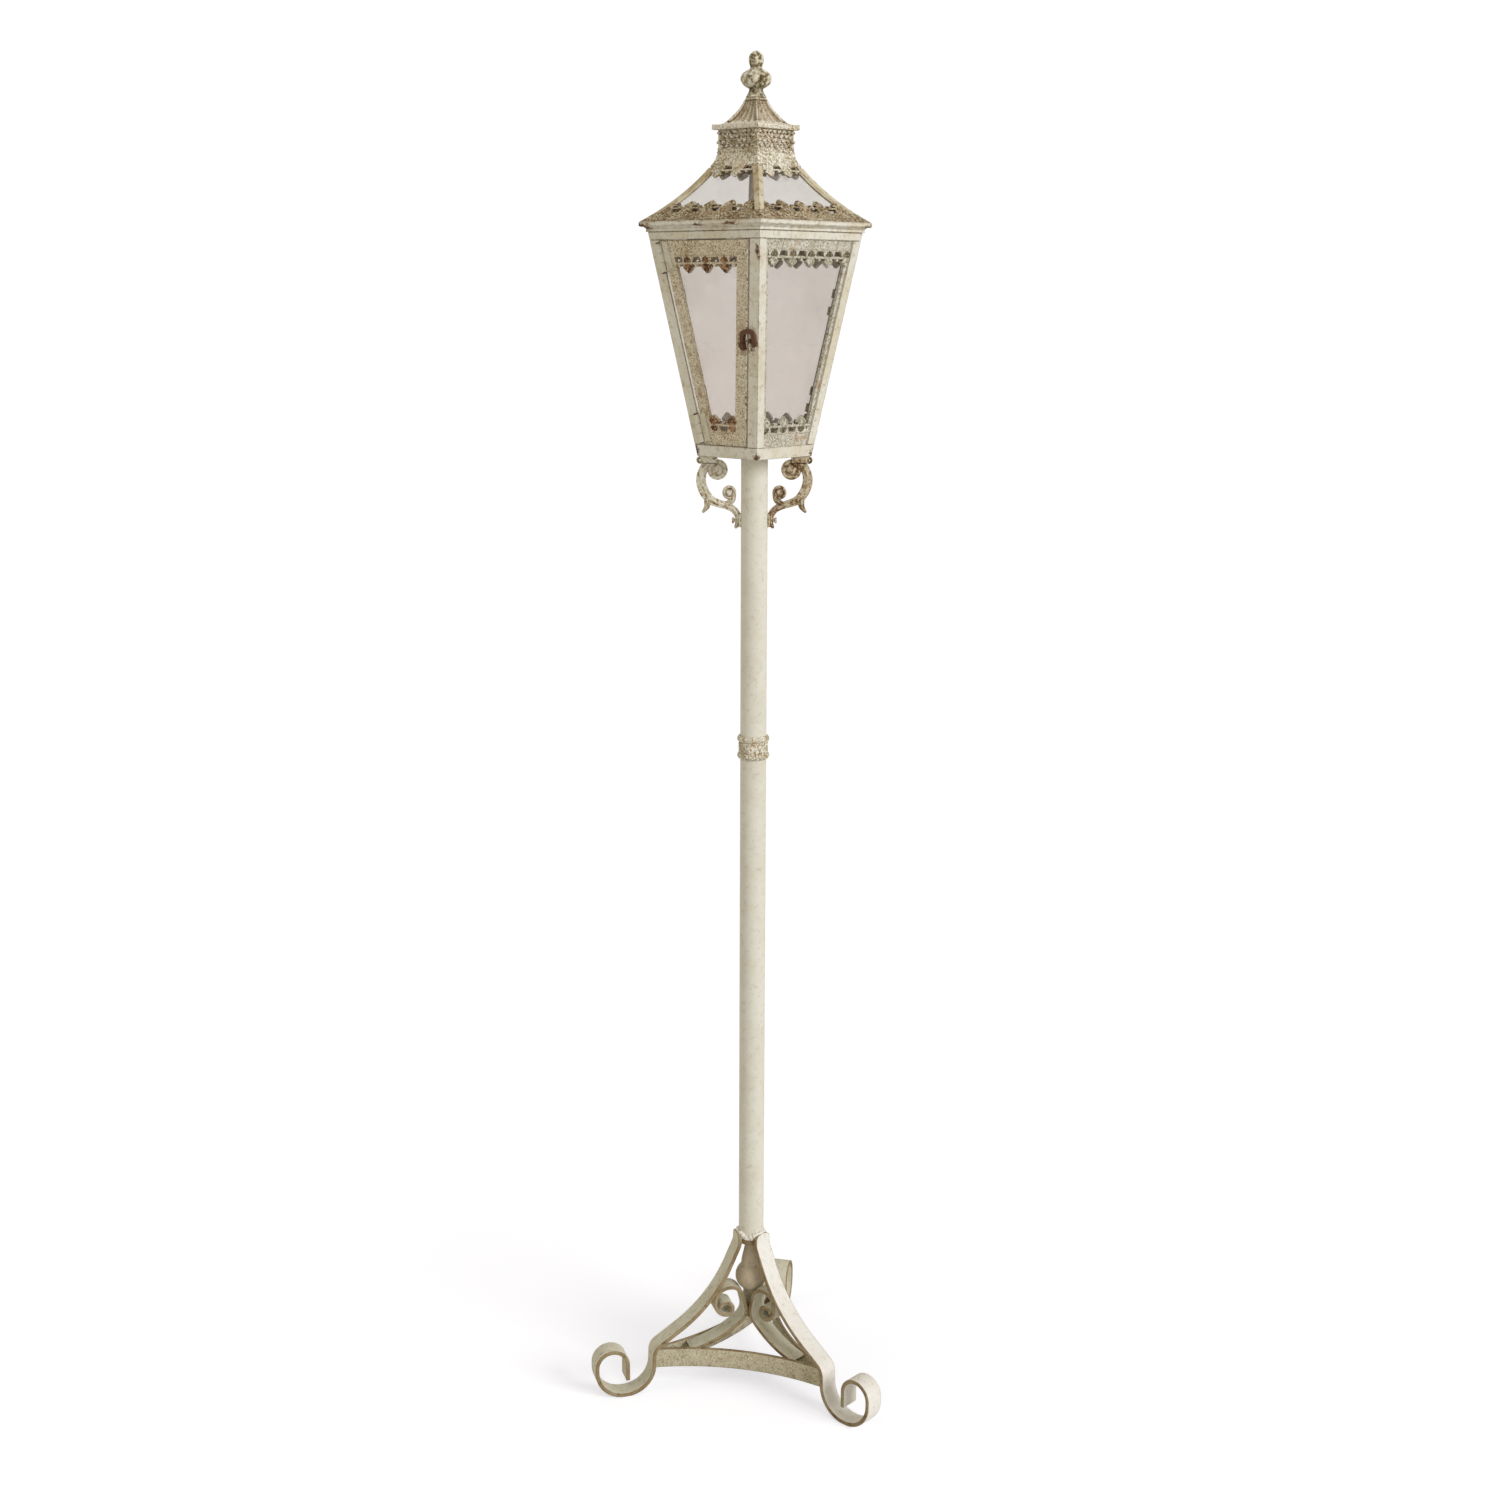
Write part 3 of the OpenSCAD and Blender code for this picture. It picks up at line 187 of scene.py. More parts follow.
def streak(tree, at, place, width, height):
    """1 at a place in mm, falling to 0 at width across and height below it, with torn edges."""
    off = add(tree, "VectorMath", at, tuple(v * MM for v in place), operation="SUBTRACT")
    off = add(tree, "VectorMath", off, (1 / (width * MM), 1 / (width * MM), 1 / (height * MM)),
              operation="MULTIPLY")
    far = add(tree, "VectorMath", off, out=1, operation="LENGTH")
    torn = blotches(tree, at, 260, 5, 0.7, 2.0)  # tears of 4 mm
    torn = add(tree, "MapRange", torn, 0.35, 0.65, 0, 0.4, **smooth)
    far = add(tree, "Math", add(tree, "Math", far, 0.6, **times), torn, **plus)
    return add(tree, "MapRange", far, 0.72, 0.35, **smooth)


def aged_paint(name, coat, shade, stain, rust, patchy=0.5, pitted=0.5, worn=0.5, grime_and_shade=0.6,
               bumps=0.35, seed=0.0, edge=0.0012, streaks=()):
    """Old matt paint on iron: tone drifts over 40 mm, mottling of 7 mm, grain of 1.6 mm, rust
    pits of 1 mm, rust where edges rub through, and grime and painted shade where surfaces meet,
    from ambient occlusion. Shares run from 0 to 1; edge is the radius of a worn edge in metres."""
    material, tree = blank(name)
    at = add(tree, "TexCoord", out=3)
    drift = blotches(tree, at, 24, 4, 0.62, seed)
    mottle = blotches(tree, at, 150, 6, 0.72, seed + 3)
    grain = blotches(tree, at, 620, 4, 0.7, seed + 7)
    pits = blotches(tree, at, 950, 2, 0.55, seed + 11)
    bevel, rim = worn_edges(tree, edge)
    # pits gather where the tone is dark
    gathered = add(tree, "MapRange", mottle, 0.42, 0.72, -0.09, 0.08, **smooth)
    spots = add(tree, "MapRange", add(tree, "Math", pits, gathered, **plus),
                0.735 - 0.10 * pitted, 0.79 - 0.10 * pitted, **smooth)
    thin = add(tree, "MapRange", mottle, 0.60 - 0.22 * worn, 0.78 - 0.22 * worn, **smooth)
    # painted shade and grime: ambient occlusion darkens the colour towards the stain where surfaces
    # meet
    nook = add(tree, "AmbientOcclusion", out=1, Distance=0.014, samples=4, only_local=True)
    nook = add(tree, "Math", add(tree, "MapRange", nook, 0.80, 0.25, 0, grime_and_shade, **smooth),
               add(tree, "MapRange", mottle, 0.36, 0.60, 0.25, 1.0, **smooth), **times)
    colour = layered(
        tree, coat,
        (add(tree, "MapRange", drift, 0.40, 0.66, 0, patchy, **smooth), shade),
        (add(tree, "MapRange", mottle, 0.50, 0.74, 0, patchy, **smooth), stain),
        (add(tree, "MapRange", grain, 0.52, 0.70, 0, 0.35, **smooth), shade),
        (spots, rust), (add(tree, "Math", rim, thin, **times), rust),
        *((streak(tree, at, *mark), rust) for mark in streaks), (nook, stain, "glaze"))
    film = add(tree, "MapRange", mottle, 0.2, 0.8, 0.3, 1.0, **smooth)
    film = add(tree, "Math", film, add(tree, "Math", spots, 0.5, **times), **minus)
    height = add(tree, "Math", add(tree, "Math", film, 0.7, **times),
                 add(tree, "Math", grain, 0.3, **times), **plus)
    normal = add(tree, "Bump", Strength=bumps, Distance=0.0006, Height=height, Normal=bevel)
    rough = add(tree, "MapRange", mottle, 0.3, 0.8, 0.52, 0.82, **smooth)
    return surface(material, add(tree, "BsdfPrincipled", Base_Color=colour, Roughness=rough,
                                 Normal=normal, Specular_IOR_Level=0.32))


def cast_patina(name, light, mid, dark, rust, bare=0.5, size=3.0, seed=0.0, hatch=0.0, grime_and_shade=0.8,
                bumps=0.9, streaks=(), nooks=(0.80, 0.30), gritty=0.7):
    """Rough casting: light paint on its grains of about size mm, mid tones between them, dark
    pits of 0.7 mm, chips of 2 mm, patches of rust over 28 mm, and grime and painted shade in its
    nooks from ambient occlusion; bare is the share without paint, hatch the depth of upright lines
    2.1 mm apart, nooks the openness at which the grime and painted shade start and are full,
    gritty the depth of chips."""
    material, tree = blank(name)
    at = add(tree, "TexCoord", out=3)
    drift = blotches(tree, at, 36, 3, 0.6, seed)
    grain = blotches(tree, at, 1000 / size, 3, 0.55, seed + 2)
    fine = blotches(tree, at, 1500, 3, 0.6, seed + 5)
    chips = blotches(tree, at, 520, 2, 0.5, seed + 9)
    bevel, rim = worn_edges(tree, 0.0009)
    level = add(tree, "Math", grain, add(tree, "Math", drift, 0.45, **times), **plus)
    t = 0.66 + 0.16 * bare  # level from which the paint holds
    layers = [(add(tree, "MapRange", level, t - 0.11, t - 0.02, **smooth), mid),
              (add(tree, "MapRange", level, t, t + 0.09, **smooth), light),
              (add(tree, "MapRange", drift, 0.55, 0.72, 0, 0.75, **smooth), rust, "glaze"),
              (add(tree, "MapRange", fine, 0.60, 0.72, 0, 0.7, **smooth), dark),
              (add(tree, "MapRange", chips, 0.40, 0.35, 0, gritty, **smooth), light),
              (add(tree, "MapRange", chips, 0.61, 0.66, 0, gritty, **smooth), dark, "glaze")]
    layers += [(streak(tree, at, *mark), rust, "glaze") for mark in streaks]
    height = add(tree, "MapRange", level, t - 0.12, t + 0.12, **smooth)
    if hatch:
        axes = add(tree, "SeparateXYZ", at).node.outputs
        along = add(tree, "Math", axes[0], axes[1], operation="ADD")
        wave = add(tree, "Math", along, 2 * math.pi / 0.0021, operation="MULTIPLY")
        line = add(tree, "Math", wave, operation="SINE")
        line = add(tree, "MapRange", line, -0.2, 0.9, 0, hatch, **smooth)
        layers.append((line, mid, "glaze"))
        height = add(tree, "Math", height, add(tree, "Math", line, 0.8, **times), **minus)
    rub = add(tree, "MapRange", grain, 0.42, 0.58, **smooth)
    # painted shade and grime: ambient occlusion darkens the colour towards the dark tone in nooks
    nook = add(tree, "AmbientOcclusion", out=1, Distance=0.010, samples=4, only_local=True)
    layers += [(add(tree, "Math", rim, rub, **times), rust),
               (add(tree, "MapRange", nook, *nooks, 0, grime_and_shade, **smooth), dark, "glaze")]
    normal = add(tree, "Bump", Strength=bumps, Distance=0.0011, Height=height, Normal=bevel)
    rough = add(tree, "MapRange", level, t - 0.1, t + 0.1, 0.85, 0.6, **smooth)
    return surface(material, add(tree, "BsdfPrincipled", Base_Color=layered(tree, dark, *layers),
                                 Normal=normal, Roughness=rough, Specular_IOR_Level=0.3))


def bent(corners, radii, step=2.0):
    """Plane path through corners, with a round bend of the given radius at each: a bend takes
    radius * tan(half its angle) of the straight pieces beside it, and less where they are short."""
    corner = np.asarray(corners, float)
    ahead = np.diff(corner, axis=0)
    length = np.linalg.norm(ahead, axis=1)
    ahead = ahead / length[:, None]
    angle = np.arctan2(ahead[:-1, 0] * ahead[1:, 1] - ahead[:-1, 1] * ahead[1:, 0],
                       (ahead[:-1] * ahead[1:]).sum(1))
    want = np.concatenate([[0], np.asarray(radii[1:-1]) * np.tan(np.abs(angle) / 2), [0]])
    room = np.minimum(1, length / np.maximum(want[:-1] + want[1:], 1e-9))
    path = [corner[:1]]
    for i, swing in enumerate(angle, 1):
        cut = want[i] * min(room[i - 1], room[i])
        radius = cut / math.tan(abs(swing) / 2)
        start = corner[i] - ahead[i - 1] * cut
        centre = start + np.sign(swing) * radius * np.array([-ahead[i - 1, 1], ahead[i - 1, 0]])
        steps = max(int(math.ceil(math.degrees(abs(swing)) / step)), 2)
        a = np.linspace(0, swing, steps + 1)[:, None]
        x, y = start - centre
        path.append(centre + np.hstack([x * np.cos(a) - y * np.sin(a),
                                        x * np.sin(a) + y * np.cos(a)]))
    path = np.concatenate(path + [corner[-1:]])
    apart = np.linalg.norm(np.diff(path, axis=0), axis=1) > 0.02
    return path[np.concatenate([[True], apart])]


def lefts(path):
    """Unit normals to the left of a plane path, one for each of its points."""
    ahead = np.diff(path, axis=0)
    ahead = ahead / np.linalg.norm(ahead, axis=1)[:, None]
    mean = np.vstack([ahead[:1], ahead[:-1] + ahead[1:], ahead[-1:]])
    mean = mean / np.linalg.norm(mean, axis=1)[:, None]
    return np.stack([-mean[:, 1], mean[:, 0]], 1)


def flat_bar(thick, width, corner):
    """Section of a rolled flat bar, (across thickness, across width): four quarter circles with
    four points each, so that its wide faces are numbers 7 and 15 of 16."""
    a = np.radians(np.linspace(0, 90, 4))
    q = np.stack([thick / 2 - corner + corner * np.cos(a),
                  width / 2 - corner + corner * np.sin(a)], 1)
    return np.concatenate([q, q[::-1] * [-1, 1], q * [-1, -1], q[::-1] * [1, -1]])


def swept(path, section):
    """Rings of section carried along an upright plane path: (outwards, across, up)."""
    side = lefts(path)
    rings = np.empty((len(path), len(section), 3))
    rings[..., 0] = path[:, None, 0] + side[:, None, 0] * section[None, :, 0]
    rings[..., 2] = path[:, None, 1] + side[:, None, 1] * section[None, :, 0]
    rings[..., 1] = section[None, :, 1]
    return rings


def turned(points, degrees):
    """Points turned about the pole's axis."""
    a = math.radians(degrees)
    out = np.array(points, float)
    out[..., 0] = points[..., 0] * math.cos(a) - points[..., 1] * math.sin(a)
    out[..., 1] = points[..., 0] * math.sin(a) + points[..., 1] * math.cos(a)
    return out


def skin(rings, loop=False):
    """Quads between successive closed rings, with end faces unless the last ring meets the
    first: (points, faces)."""
    n, m = rings.shape[:2]
    i, j = np.meshgrid(np.arange(n if loop else n - 1), np.arange(m), indexing="ij")
    below, beside = (i + 1) % n, (j + 1) % m
    faces = np.stack([i * m + j, i * m + beside, below * m + beside, below * m + j], -1)
    faces = faces.reshape(-1, 4).tolist()
    if not loop:
        faces += [list(range(m))[::-1], list(range((n - 1) * m, n * m))]
    return rings.reshape(-1, 3), faces


def joined(parts):
    """Several (points, faces) as one."""
    points, faces, start = [], [], 0
    for part_points, part_faces in parts:
        points.append(np.asarray(part_points, float))
        faces += [[v + start for v in face] for face in part_faces]
        start += len(part_points)
    return np.concatenate(points), faces


def make(name, shape, material, body="lantern_stand", sharp=38, rim=None):
    """Blender object from (points in mm, faces), riding on a body; rim paints a bar's edges."""
    points, faces = shape
    mesh = bpy.data.meshes.new(name)
    mesh.from_pydata((points * MM).tolist(), [], faces)
    work = bmesh.new()
    work.from_mesh(mesh)
    bmesh.ops.recalc_face_normals(work, faces=work.faces)
    work.to_mesh(mesh)
    work.free()
    mesh.shade_smooth()
    mesh.set_sharp_from_angle(angle=math.radians(sharp))
    mesh.materials.append(material)
    if rim:
        mesh.materials.append(rim)
        narrow = np.arange(len(mesh.polygons)) % 8 != 7
        mesh.polygons.foreach_set("material_index", narrow.astype(np.int32))
    piece = placed(name, mesh)
    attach(piece, body)
    return piece


# brushed antique-white paint: matt, broken by small brown specks
paint = aged_paint(
    "antique_white_paint_on_iron", "#F1EEEA", "#E6DFD6", "#B3A994", "#6A4C31",
    patchy=0.40, pitted=0.6)
# the same paint gone green-grey and darker: painted shade for the bars that lie in shade
shaded_green_paint = aged_paint(
    "greenish_white_paint_with_painted_shade", "#DDD9C9", "#C9C3AB", "#948C6E", "#6A4C31",
    patchy=0.6, pitted=0.7, seed=2.0)
# edges rubbed down to primer and rust: brown lines along each bar
rubbed = aged_paint(
    "brown_rubbed_edges_of_bar", "#A39274", "#846D4C", "#5C452E", "#4E3521",
    patchy=1.0, pitted=0.7, seed=3.0)
pole_r, bar_w, leg_t = 15.9, 25.4, 5.0
leg_line = bent([[18.45, 204], [18.45, 189], [53, 111], [132, 58.7], [134, 2.5], [207.5, 2.5],
                 [207.5, 64], [167.5, 64], [167.5, 23]], [0, 20, 190, 17, 36, 36, 20, 20, 0])
leg_line[:, 1] -= 0.5
# the top end's corners are ground round, with a radius of 8 mm
top_round, top_steps = 8.0, np.array([0, 0.4, 1, 2, 3.2, 4.6, 6, 8])
leg_top = leg_line[0] - np.outer(top_steps, [0, 1])
leg_line = np.vstack([leg_top, leg_line[1:]])
leg_rings = swept(leg_line, flat_bar(leg_t, bar_w, 1.1))
leg_rings[..., 2] = np.maximum(leg_rings[..., 2], 0)
lost = top_round - np.sqrt(top_round ** 2 - (top_round - top_steps) ** 2)
leg_rings[:len(leg_top), :, 1] *= (1 - lost / (bar_w / 2))[:, None]
# the right leg takes the plain paint; the back and front legs take the darker paint, painted shade
for i, name in enumerate(["leg_right", "leg_back", "leg_front"]):
    leg = make(name + "_bar", skin(turned(leg_rings, 120 * i)), paint if i == 0 else shaded_green_paint,
               rim=rubbed)
    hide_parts(name)


# ---- Stretchers ----
# Three flat bars on edge, bowed towards the middle, which tie the knees together. Their ends
# are cut to the legs' inner faces and welded there. Darker, speckled paint.

def arc(p, q, sag, n):
    """Points on the arc from p to q whose middle lies sag to the left of the chord; its radius
    is (half chord squared + sag squared) / (2 sag)."""
    p, q = np.asarray(p, float), np.asarray(q, float)
    half = np.linalg.norm(q - p) / 2
    r = (half * half + sag * sag) / (2 * sag)
    along = (q - p) / (2 * half)
    centre = (p + q) / 2 + np.array([-along[1], along[0]]) * (sag - r)
    a = np.linspace(0, -2 * math.asin(half / r), n + 1)[:, None]
    x, y = p - centre
    return centre + np.hstack([x * np.cos(a) - y * np.sin(a), x * np.sin(a) + y * np.cos(a)])


# dusty paint near the floor: cream with fine brown and grey specks
speckled = cast_patina(
    "speckled_antique_white_paint", "#D5CDB8", "#C6BDA2", "#978A69", "#B4926C",
    bare=0.30, size=1.2, seed=5.0, bumps=0.35)
stretcher_t, stretcher_z, mid_r, knee_face = 4.5, 30.0, 46.0, 129.5
gap = 0.1
c60, s60 = math.cos(math.radians(60)), math.sin(math.radians(60))
end_u, end_v = knee_face - gap, -(stretcher_t / 2 + gap)
end_x, end_y = end_u * c60 - end_v * s60, end_u * s60 + end_v * c60
bow = arc([end_x, -end_y], [end_x, end_y], end_x - mid_r, 90)
bow_side = lefts(bow)
bar_section = flat_bar(stretcher_t, bar_w, 1.0)
bow_rings = np.empty((len(bow), len(bar_section), 3))
bow_rings[..., :2] = bow[:, None] + bow_side[:, None] * bar_section[None, :, :1]
bow_rings[..., 2] = stretcher_z + bar_w / 2 + bar_section[None, :, 1]
# a leg's inner face round the knee, where the ends are cut: distance from the axis by height
inner_face = leg_line - lefts(leg_line) * leg_t / 2
knee = ((leg_line[:, 0] > 118) & (leg_line[:, 0] < 150)
        & (leg_line[:, 1] > 8) & (leg_line[:, 1] < 75))
inner_face = inner_face[knee]
inner_face = inner_face[np.argsort(inner_face[:, 1])]
for end, sign in ((0, -1), (-1, 1)):
    limit = np.interp(bow_rings[end, :, 2], inner_face[:, 1], inner_face[:, 0]) - 0.15
    ahead = bow[end] - bow[end - 1 if end else 1]
    ahead = ahead / np.linalg.norm(ahead)
    to_leg = np.array([c60, sign * s60])
    past = bow_rings[end, :, :2] @ to_leg - limit
    bow_rings[end, :, :2] -= past[:, None] / (ahead @ to_leg) * ahead[None, :]
for i, name in enumerate(["stretcher_back", "stretcher_left", "stretcher_front"]):
    bar = make(name + "_bar", skin(turned(bow_rings, 120 * i + 60)), speckled, rim=rubbed)
    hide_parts(name)


# ---- Inner scrolls ----
# Three thinner bars in the legs' planes: wedged between two stretchers at the knee, turned up
# beside each other under the pole, where they are welded, and curled outwards at the top.

scroll_t = 4.5
heel = bar_w / (2 * math.sqrt(3)) - 2.3  # where the three bars' edges touch
scroll_line = bent([[84, 48.9], [45, 54.8], [heel, 88.7], [heel + 10.4, 133], [53, 133], [53, 91],
                    [25.5, 91], [25.5, 111.5], [46, 111.5], [46, 104]],
                   [0, 140, 22, 20.5, 20.5, 20.5, 10.5, 10, 8, 0])
bar_section = flat_bar(scroll_t, bar_w, 1.0)
bar_section[:, 0] -= scroll_t / 2
scroll_rings = swept(scroll_line, bar_section)
# room between two stretchers, and then between two scrolls: half width by distance outwards
free = 99
bow_face = bow + bow_side * (stretcher_t / 2 + gap)
bow_face = bow_face[bow_face[:, 1] > 0]
out_at = bow_face @ np.array([c60, s60])
across = np.abs(bow_face @ np.array([-s60, c60]))
order = np.argsort(out_at)
room = np.interp(scroll_rings[..., 0], out_at[order], across[order], left=free)
room = np.where(scroll_rings[..., 2] < stretcher_z + bar_w + gap, room, free)
room = np.minimum(room, np.maximum(scroll_rings[..., 0] - gap, 0.05) * math.tan(math.radians(60)))
scroll_rings[..., 1] = np.clip(scroll_rings[..., 1], -room, room)
# all three scrolls take the darker paint, painted shade as on the shaded legs
for i, name in enumerate(["inner_scroll_right", "inner_scroll_back", "inner_scroll_front"]):
    bar = make(name + "_bar", skin(turned(scroll_rings, 120 * i)), shaded_green_paint, rim=rubbed)
    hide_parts(name)


# ---- Pole and pendant ----
# Two lengths of 32 mm tube that meet at mid height, and under them a turned pendant with a ball,
# screwed into the foot. The tubes' paint is smoother than the bars'; the ball's is worn brown.

def lathe(rows, n=96):
    """Surface turned about the pole's axis from (radius, height) rows."""
    rows = np.asarray(rows, float)
    a = np.linspace(0, 2 * math.pi, n, endpoint=False)
    return np.stack([rows[:, None, 0] * np.cos(a), rows[:, None, 0] * np.sin(a),
                     np.repeat(rows[:, 1:2], n, 1)], -1)


# paint on drawn tube: smoother and greyer, with few pits
tube_paint = aged_paint(
    "antique_white_paint_on_tube", "#E4E1D7", "#D4CCBA", "#ABA48D", "#6A4C31",
    patchy=0.4, pitted=0.35, worn=0.3, bumps=0.25, seed=9.0)
pole_foot, joint_z, lantern_foot = 188.0, 841.5, 1193.5
bore, round_off = 13.9, 0.5
rise = np.linspace(0.02, 0.98, 24)[:, None]
for name, low, high in (("pole_lower", pole_foot, joint_z - 0.05),
                        ("pole_upper", joint_z + 0.05, lantern_foot - gap)):
    wall = np.vstack([
        [[bore, low], [pole_r - round_off, low], [pole_r, low + round_off]],
        [pole_r, low + round_off] + rise * [0, high - low - 2 * round_off],
        [[pole_r, high - round_off], [pole_r - round_off, high], [bore, high]]])
    tube = make(name + "_tube", skin(lathe(wall), loop=True), tube_paint)
    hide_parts(name)

ball_r, ball_z = 20, 140
latitude = np.radians(np.arange(-66, 52, 4))
ball = np.column_stack([ball_r * np.cos(latitude), ball_z + ball_r * np.sin(latitude)])
neck = [[12.42, 156.0], [12.5, 159.5], [11.9, 164.5], [10.6, 170], [9.2, 176], [8.0, 182],
        [7.4, 186.8], [7.4, 187.9], [0.1, 187.9]]
drop = [[0.1, 108.7], [1.6, 108.9], [2.6, 110.2], [3.3, 112.6], [4.6, 114.6], [6.2, 116.2],
        [7.0, 118.6], [7.4, 121.0]]
# handled and knocked: more brown than white
ball_paint = aged_paint(
    "worn_paint_on_turned_ball", "#C9BCA6", "#B3A28A", "#85725A", "#5A4531",
    patchy=0.6, pitted=0.6, seed=14.0)
pendant = make("pendant_turned", skin(lathe(np.vstack([drop, ball, neck]), 72)), ball_paint)
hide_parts("pendant")


# ---- Welds ----
# Lumpy weld beads, painted over, where the legs' tops meet the tube and round its foot, and a
# rusted bead where the three inner scrolls touch. The tube's foot is stained brown below them.

def lump(centre, r, random, squash=(1, 1, 1)):
    """Small uneven ball: six rings of nine points, each with its own radius near r."""
    a = np.linspace(0, 2 * math.pi, 9, endpoint=False)
    rings = []
    for b in np.radians([-84, -50, -15, 20, 55, 84]):
        size = r * (1 + random.uniform(-0.13, 0.13, 9)) * math.cos(b)
        rings.append(np.stack([size * np.cos(a) * squash[0], size * np.sin(a) * squash[1],
                               np.full(9, r * math.sin(b)) * squash[2]], 1))
    return skin(np.array(rings) + np.asarray(centre, float))


random = np.random.default_rng(3)
lumps, scabs = [], []
for i in range(3):
    for y in np.linspace(-9.5, 9.5, 8):
        x = math.sqrt(pole_r ** 2 - y * y) + 1.4
        points, faces = lump((x, y, 203.0 + random.uniform(-0.8, 1.0) - abs(y) * 0.12),
                             random.uniform(2.7, 3.7), random)
        lumps.append((turned(points, 120 * i), faces))
    for angle in np.radians(np.linspace(30, 90, 10)):
        points, faces = lump((16.0 * math.cos(angle), 16.0 * math.sin(angle),
                              198.5 + random.uniform(-1.4, 1.6)), random.uniform(2.0, 2.9),
                             random, (1, 1, 1.25))
        lumps.append((turned(points, 120 * i), faces))
    for z in np.linspace(84, 96, 6):
        points, faces = lump((4.6 + random.uniform(-0.6, 0.6), 0, z), random.uniform(2.0, 3.0),
                             random, (1, 1.5, 1))
        scabs.append((turned(points, 120 * i + 60), faces))
make("hub_welds", joined(lumps), paint, sharp=80)
make("scroll_welds", joined(scabs), rubbed, sharp=80)
make("tube_foot_stain", skin(lathe([[15.93, 188.1], [16.05, 188.4], [16.05, 192.5],
                                    [16.05, 197.2], [15.93, 197.6]])), rubbed)


# ---- Brackets ----
# Two cast C-scrolls in the plane of the near and far corners, between the pole and the
# lantern's underside: a raised spine, two rolled scroll eyes, two spurs and a knob.

def catmull(points, n=8):
    """Smooth curve through points, whose third number is the width."""
    P = np.asarray(points, float)
    P = np.vstack([P[:1], P, P[-1:]])
    t = np.linspace(0, 1, n, endpoint=False)[:, None]
    pieces = [(2 * b + (c - a) * t + (2 * a - 5 * b + 4 * c - d) * t ** 2
               + (3 * b - a - 3 * c + d) * t ** 3) / 2
              for a, b, c, d in zip(P, P[1:], P[2:], P[3:])]
    return np.vstack(pieces + [P[-1:]])


def cast_stroke(points, thick=8.0):
    """Tapering cast rib along a smooth curve: thin edges, raised spine, and ends closed by
    half circles of its own width."""
    curve = catmull(points)
    mid, w = curve[:, :2], curve[:, 2]
    side = lefts(mid)
    ahead = np.stack([side[:, 1], -side[:, 0]], 1)
    a = np.radians([15, 35, 55, 75, 90])
    tip = mid[-1] + np.outer(np.sin(a), ahead[-1] * w[-1] / 2)
    tail = mid[0] - np.outer(np.sin(a[::-1]), ahead[0] * w[0] / 2)
    mid = np.vstack([tail, mid, tip])
    side = np.vstack([np.repeat(side[:1], 5, 0), side, np.repeat(side[-1:], 5, 0)])
    w = np.concatenate([w[0] * np.cos(a[::-1]) + 0.15, w, w[-1] * np.cos(a) + 0.15])
    across = np.array([-1, -0.96, -0.78, -0.55, -0.32, -0.14, 0])
    lift = np.array([0.34, 0.50, 0.60, 0.56, 0.70, 0.94, 1.0])
    across, lift = np.append(across, -across[-2::-1]), np.append(lift, lift[-2::-1])
    across, lift = np.append(across, across[::-1]), np.append(lift, -lift[::-1])
    rings = np.empty((len(mid), len(across), 3))
    rings[..., [0, 2]] = mid[:, None] + side[:, None] * np.outer(w, across)[..., None] / 2
    rings[..., 1] = lift[None, :] * thick / 2 * np.clip(w / 6, 0.35, 1)[:, None]
    return skin(rings)


def cast_eye(x, z, r, thick=8.0):
    """Rolled end of a scroll, turned about the axis across: rim, groove and button, both sides."""
    rows = np.array([[1.0, 0.0], [1.0, 0.42], [0.93, 0.62], [0.80, 0.78], [0.68, 0.70],
                     [0.60, 0.50], [0.52, 0.50], [0.44, 0.72], [0.30, 0.95], [0.15, 1.04],
                     [0.02, 1.06]])
    a = np.linspace(0, 2 * math.pi, 40, endpoint=False)
    both = np.vstack([rows[::-1] * [1, -1], rows[1:]])
    rings = np.empty((len(both), 40, 3))
    rings[..., 0] = x + r * both[:, None, 0] * np.cos(a)
    rings[..., 2] = z + r * both[:, None, 0] * np.sin(a)
    rings[..., 1] = both[:, None, 1] * thick / 2
    return skin(rings)


def block(x0, x1, z0, z1):
    """Bar 8 mm wide along x with rounded long edges."""
    section = flat_bar(z1 - z0, 8, 0.8)
    rings = np.empty((2, len(section), 3))
    rings[..., 0] = np.array([x0, x1])[:, None]
    rings[..., 1] = section[:, 1]
    rings[..., 2] = (z0 + z1) / 2 + section[:, 0]
    return skin(rings)


# thick paint on a smooth casting: white on the spine, brown in the grooves
cast_paint = cast_patina(
    "worn_white_paint_on_cast_scroll", "#ECE9DE", "#D9D0B9", "#957A53", "#B89670",
    bare=0.10, size=4.0, seed=21.0, grime_and_shade=1.0, bumps=0.4, nooks=(0.95, 0.50), gritty=0.4)
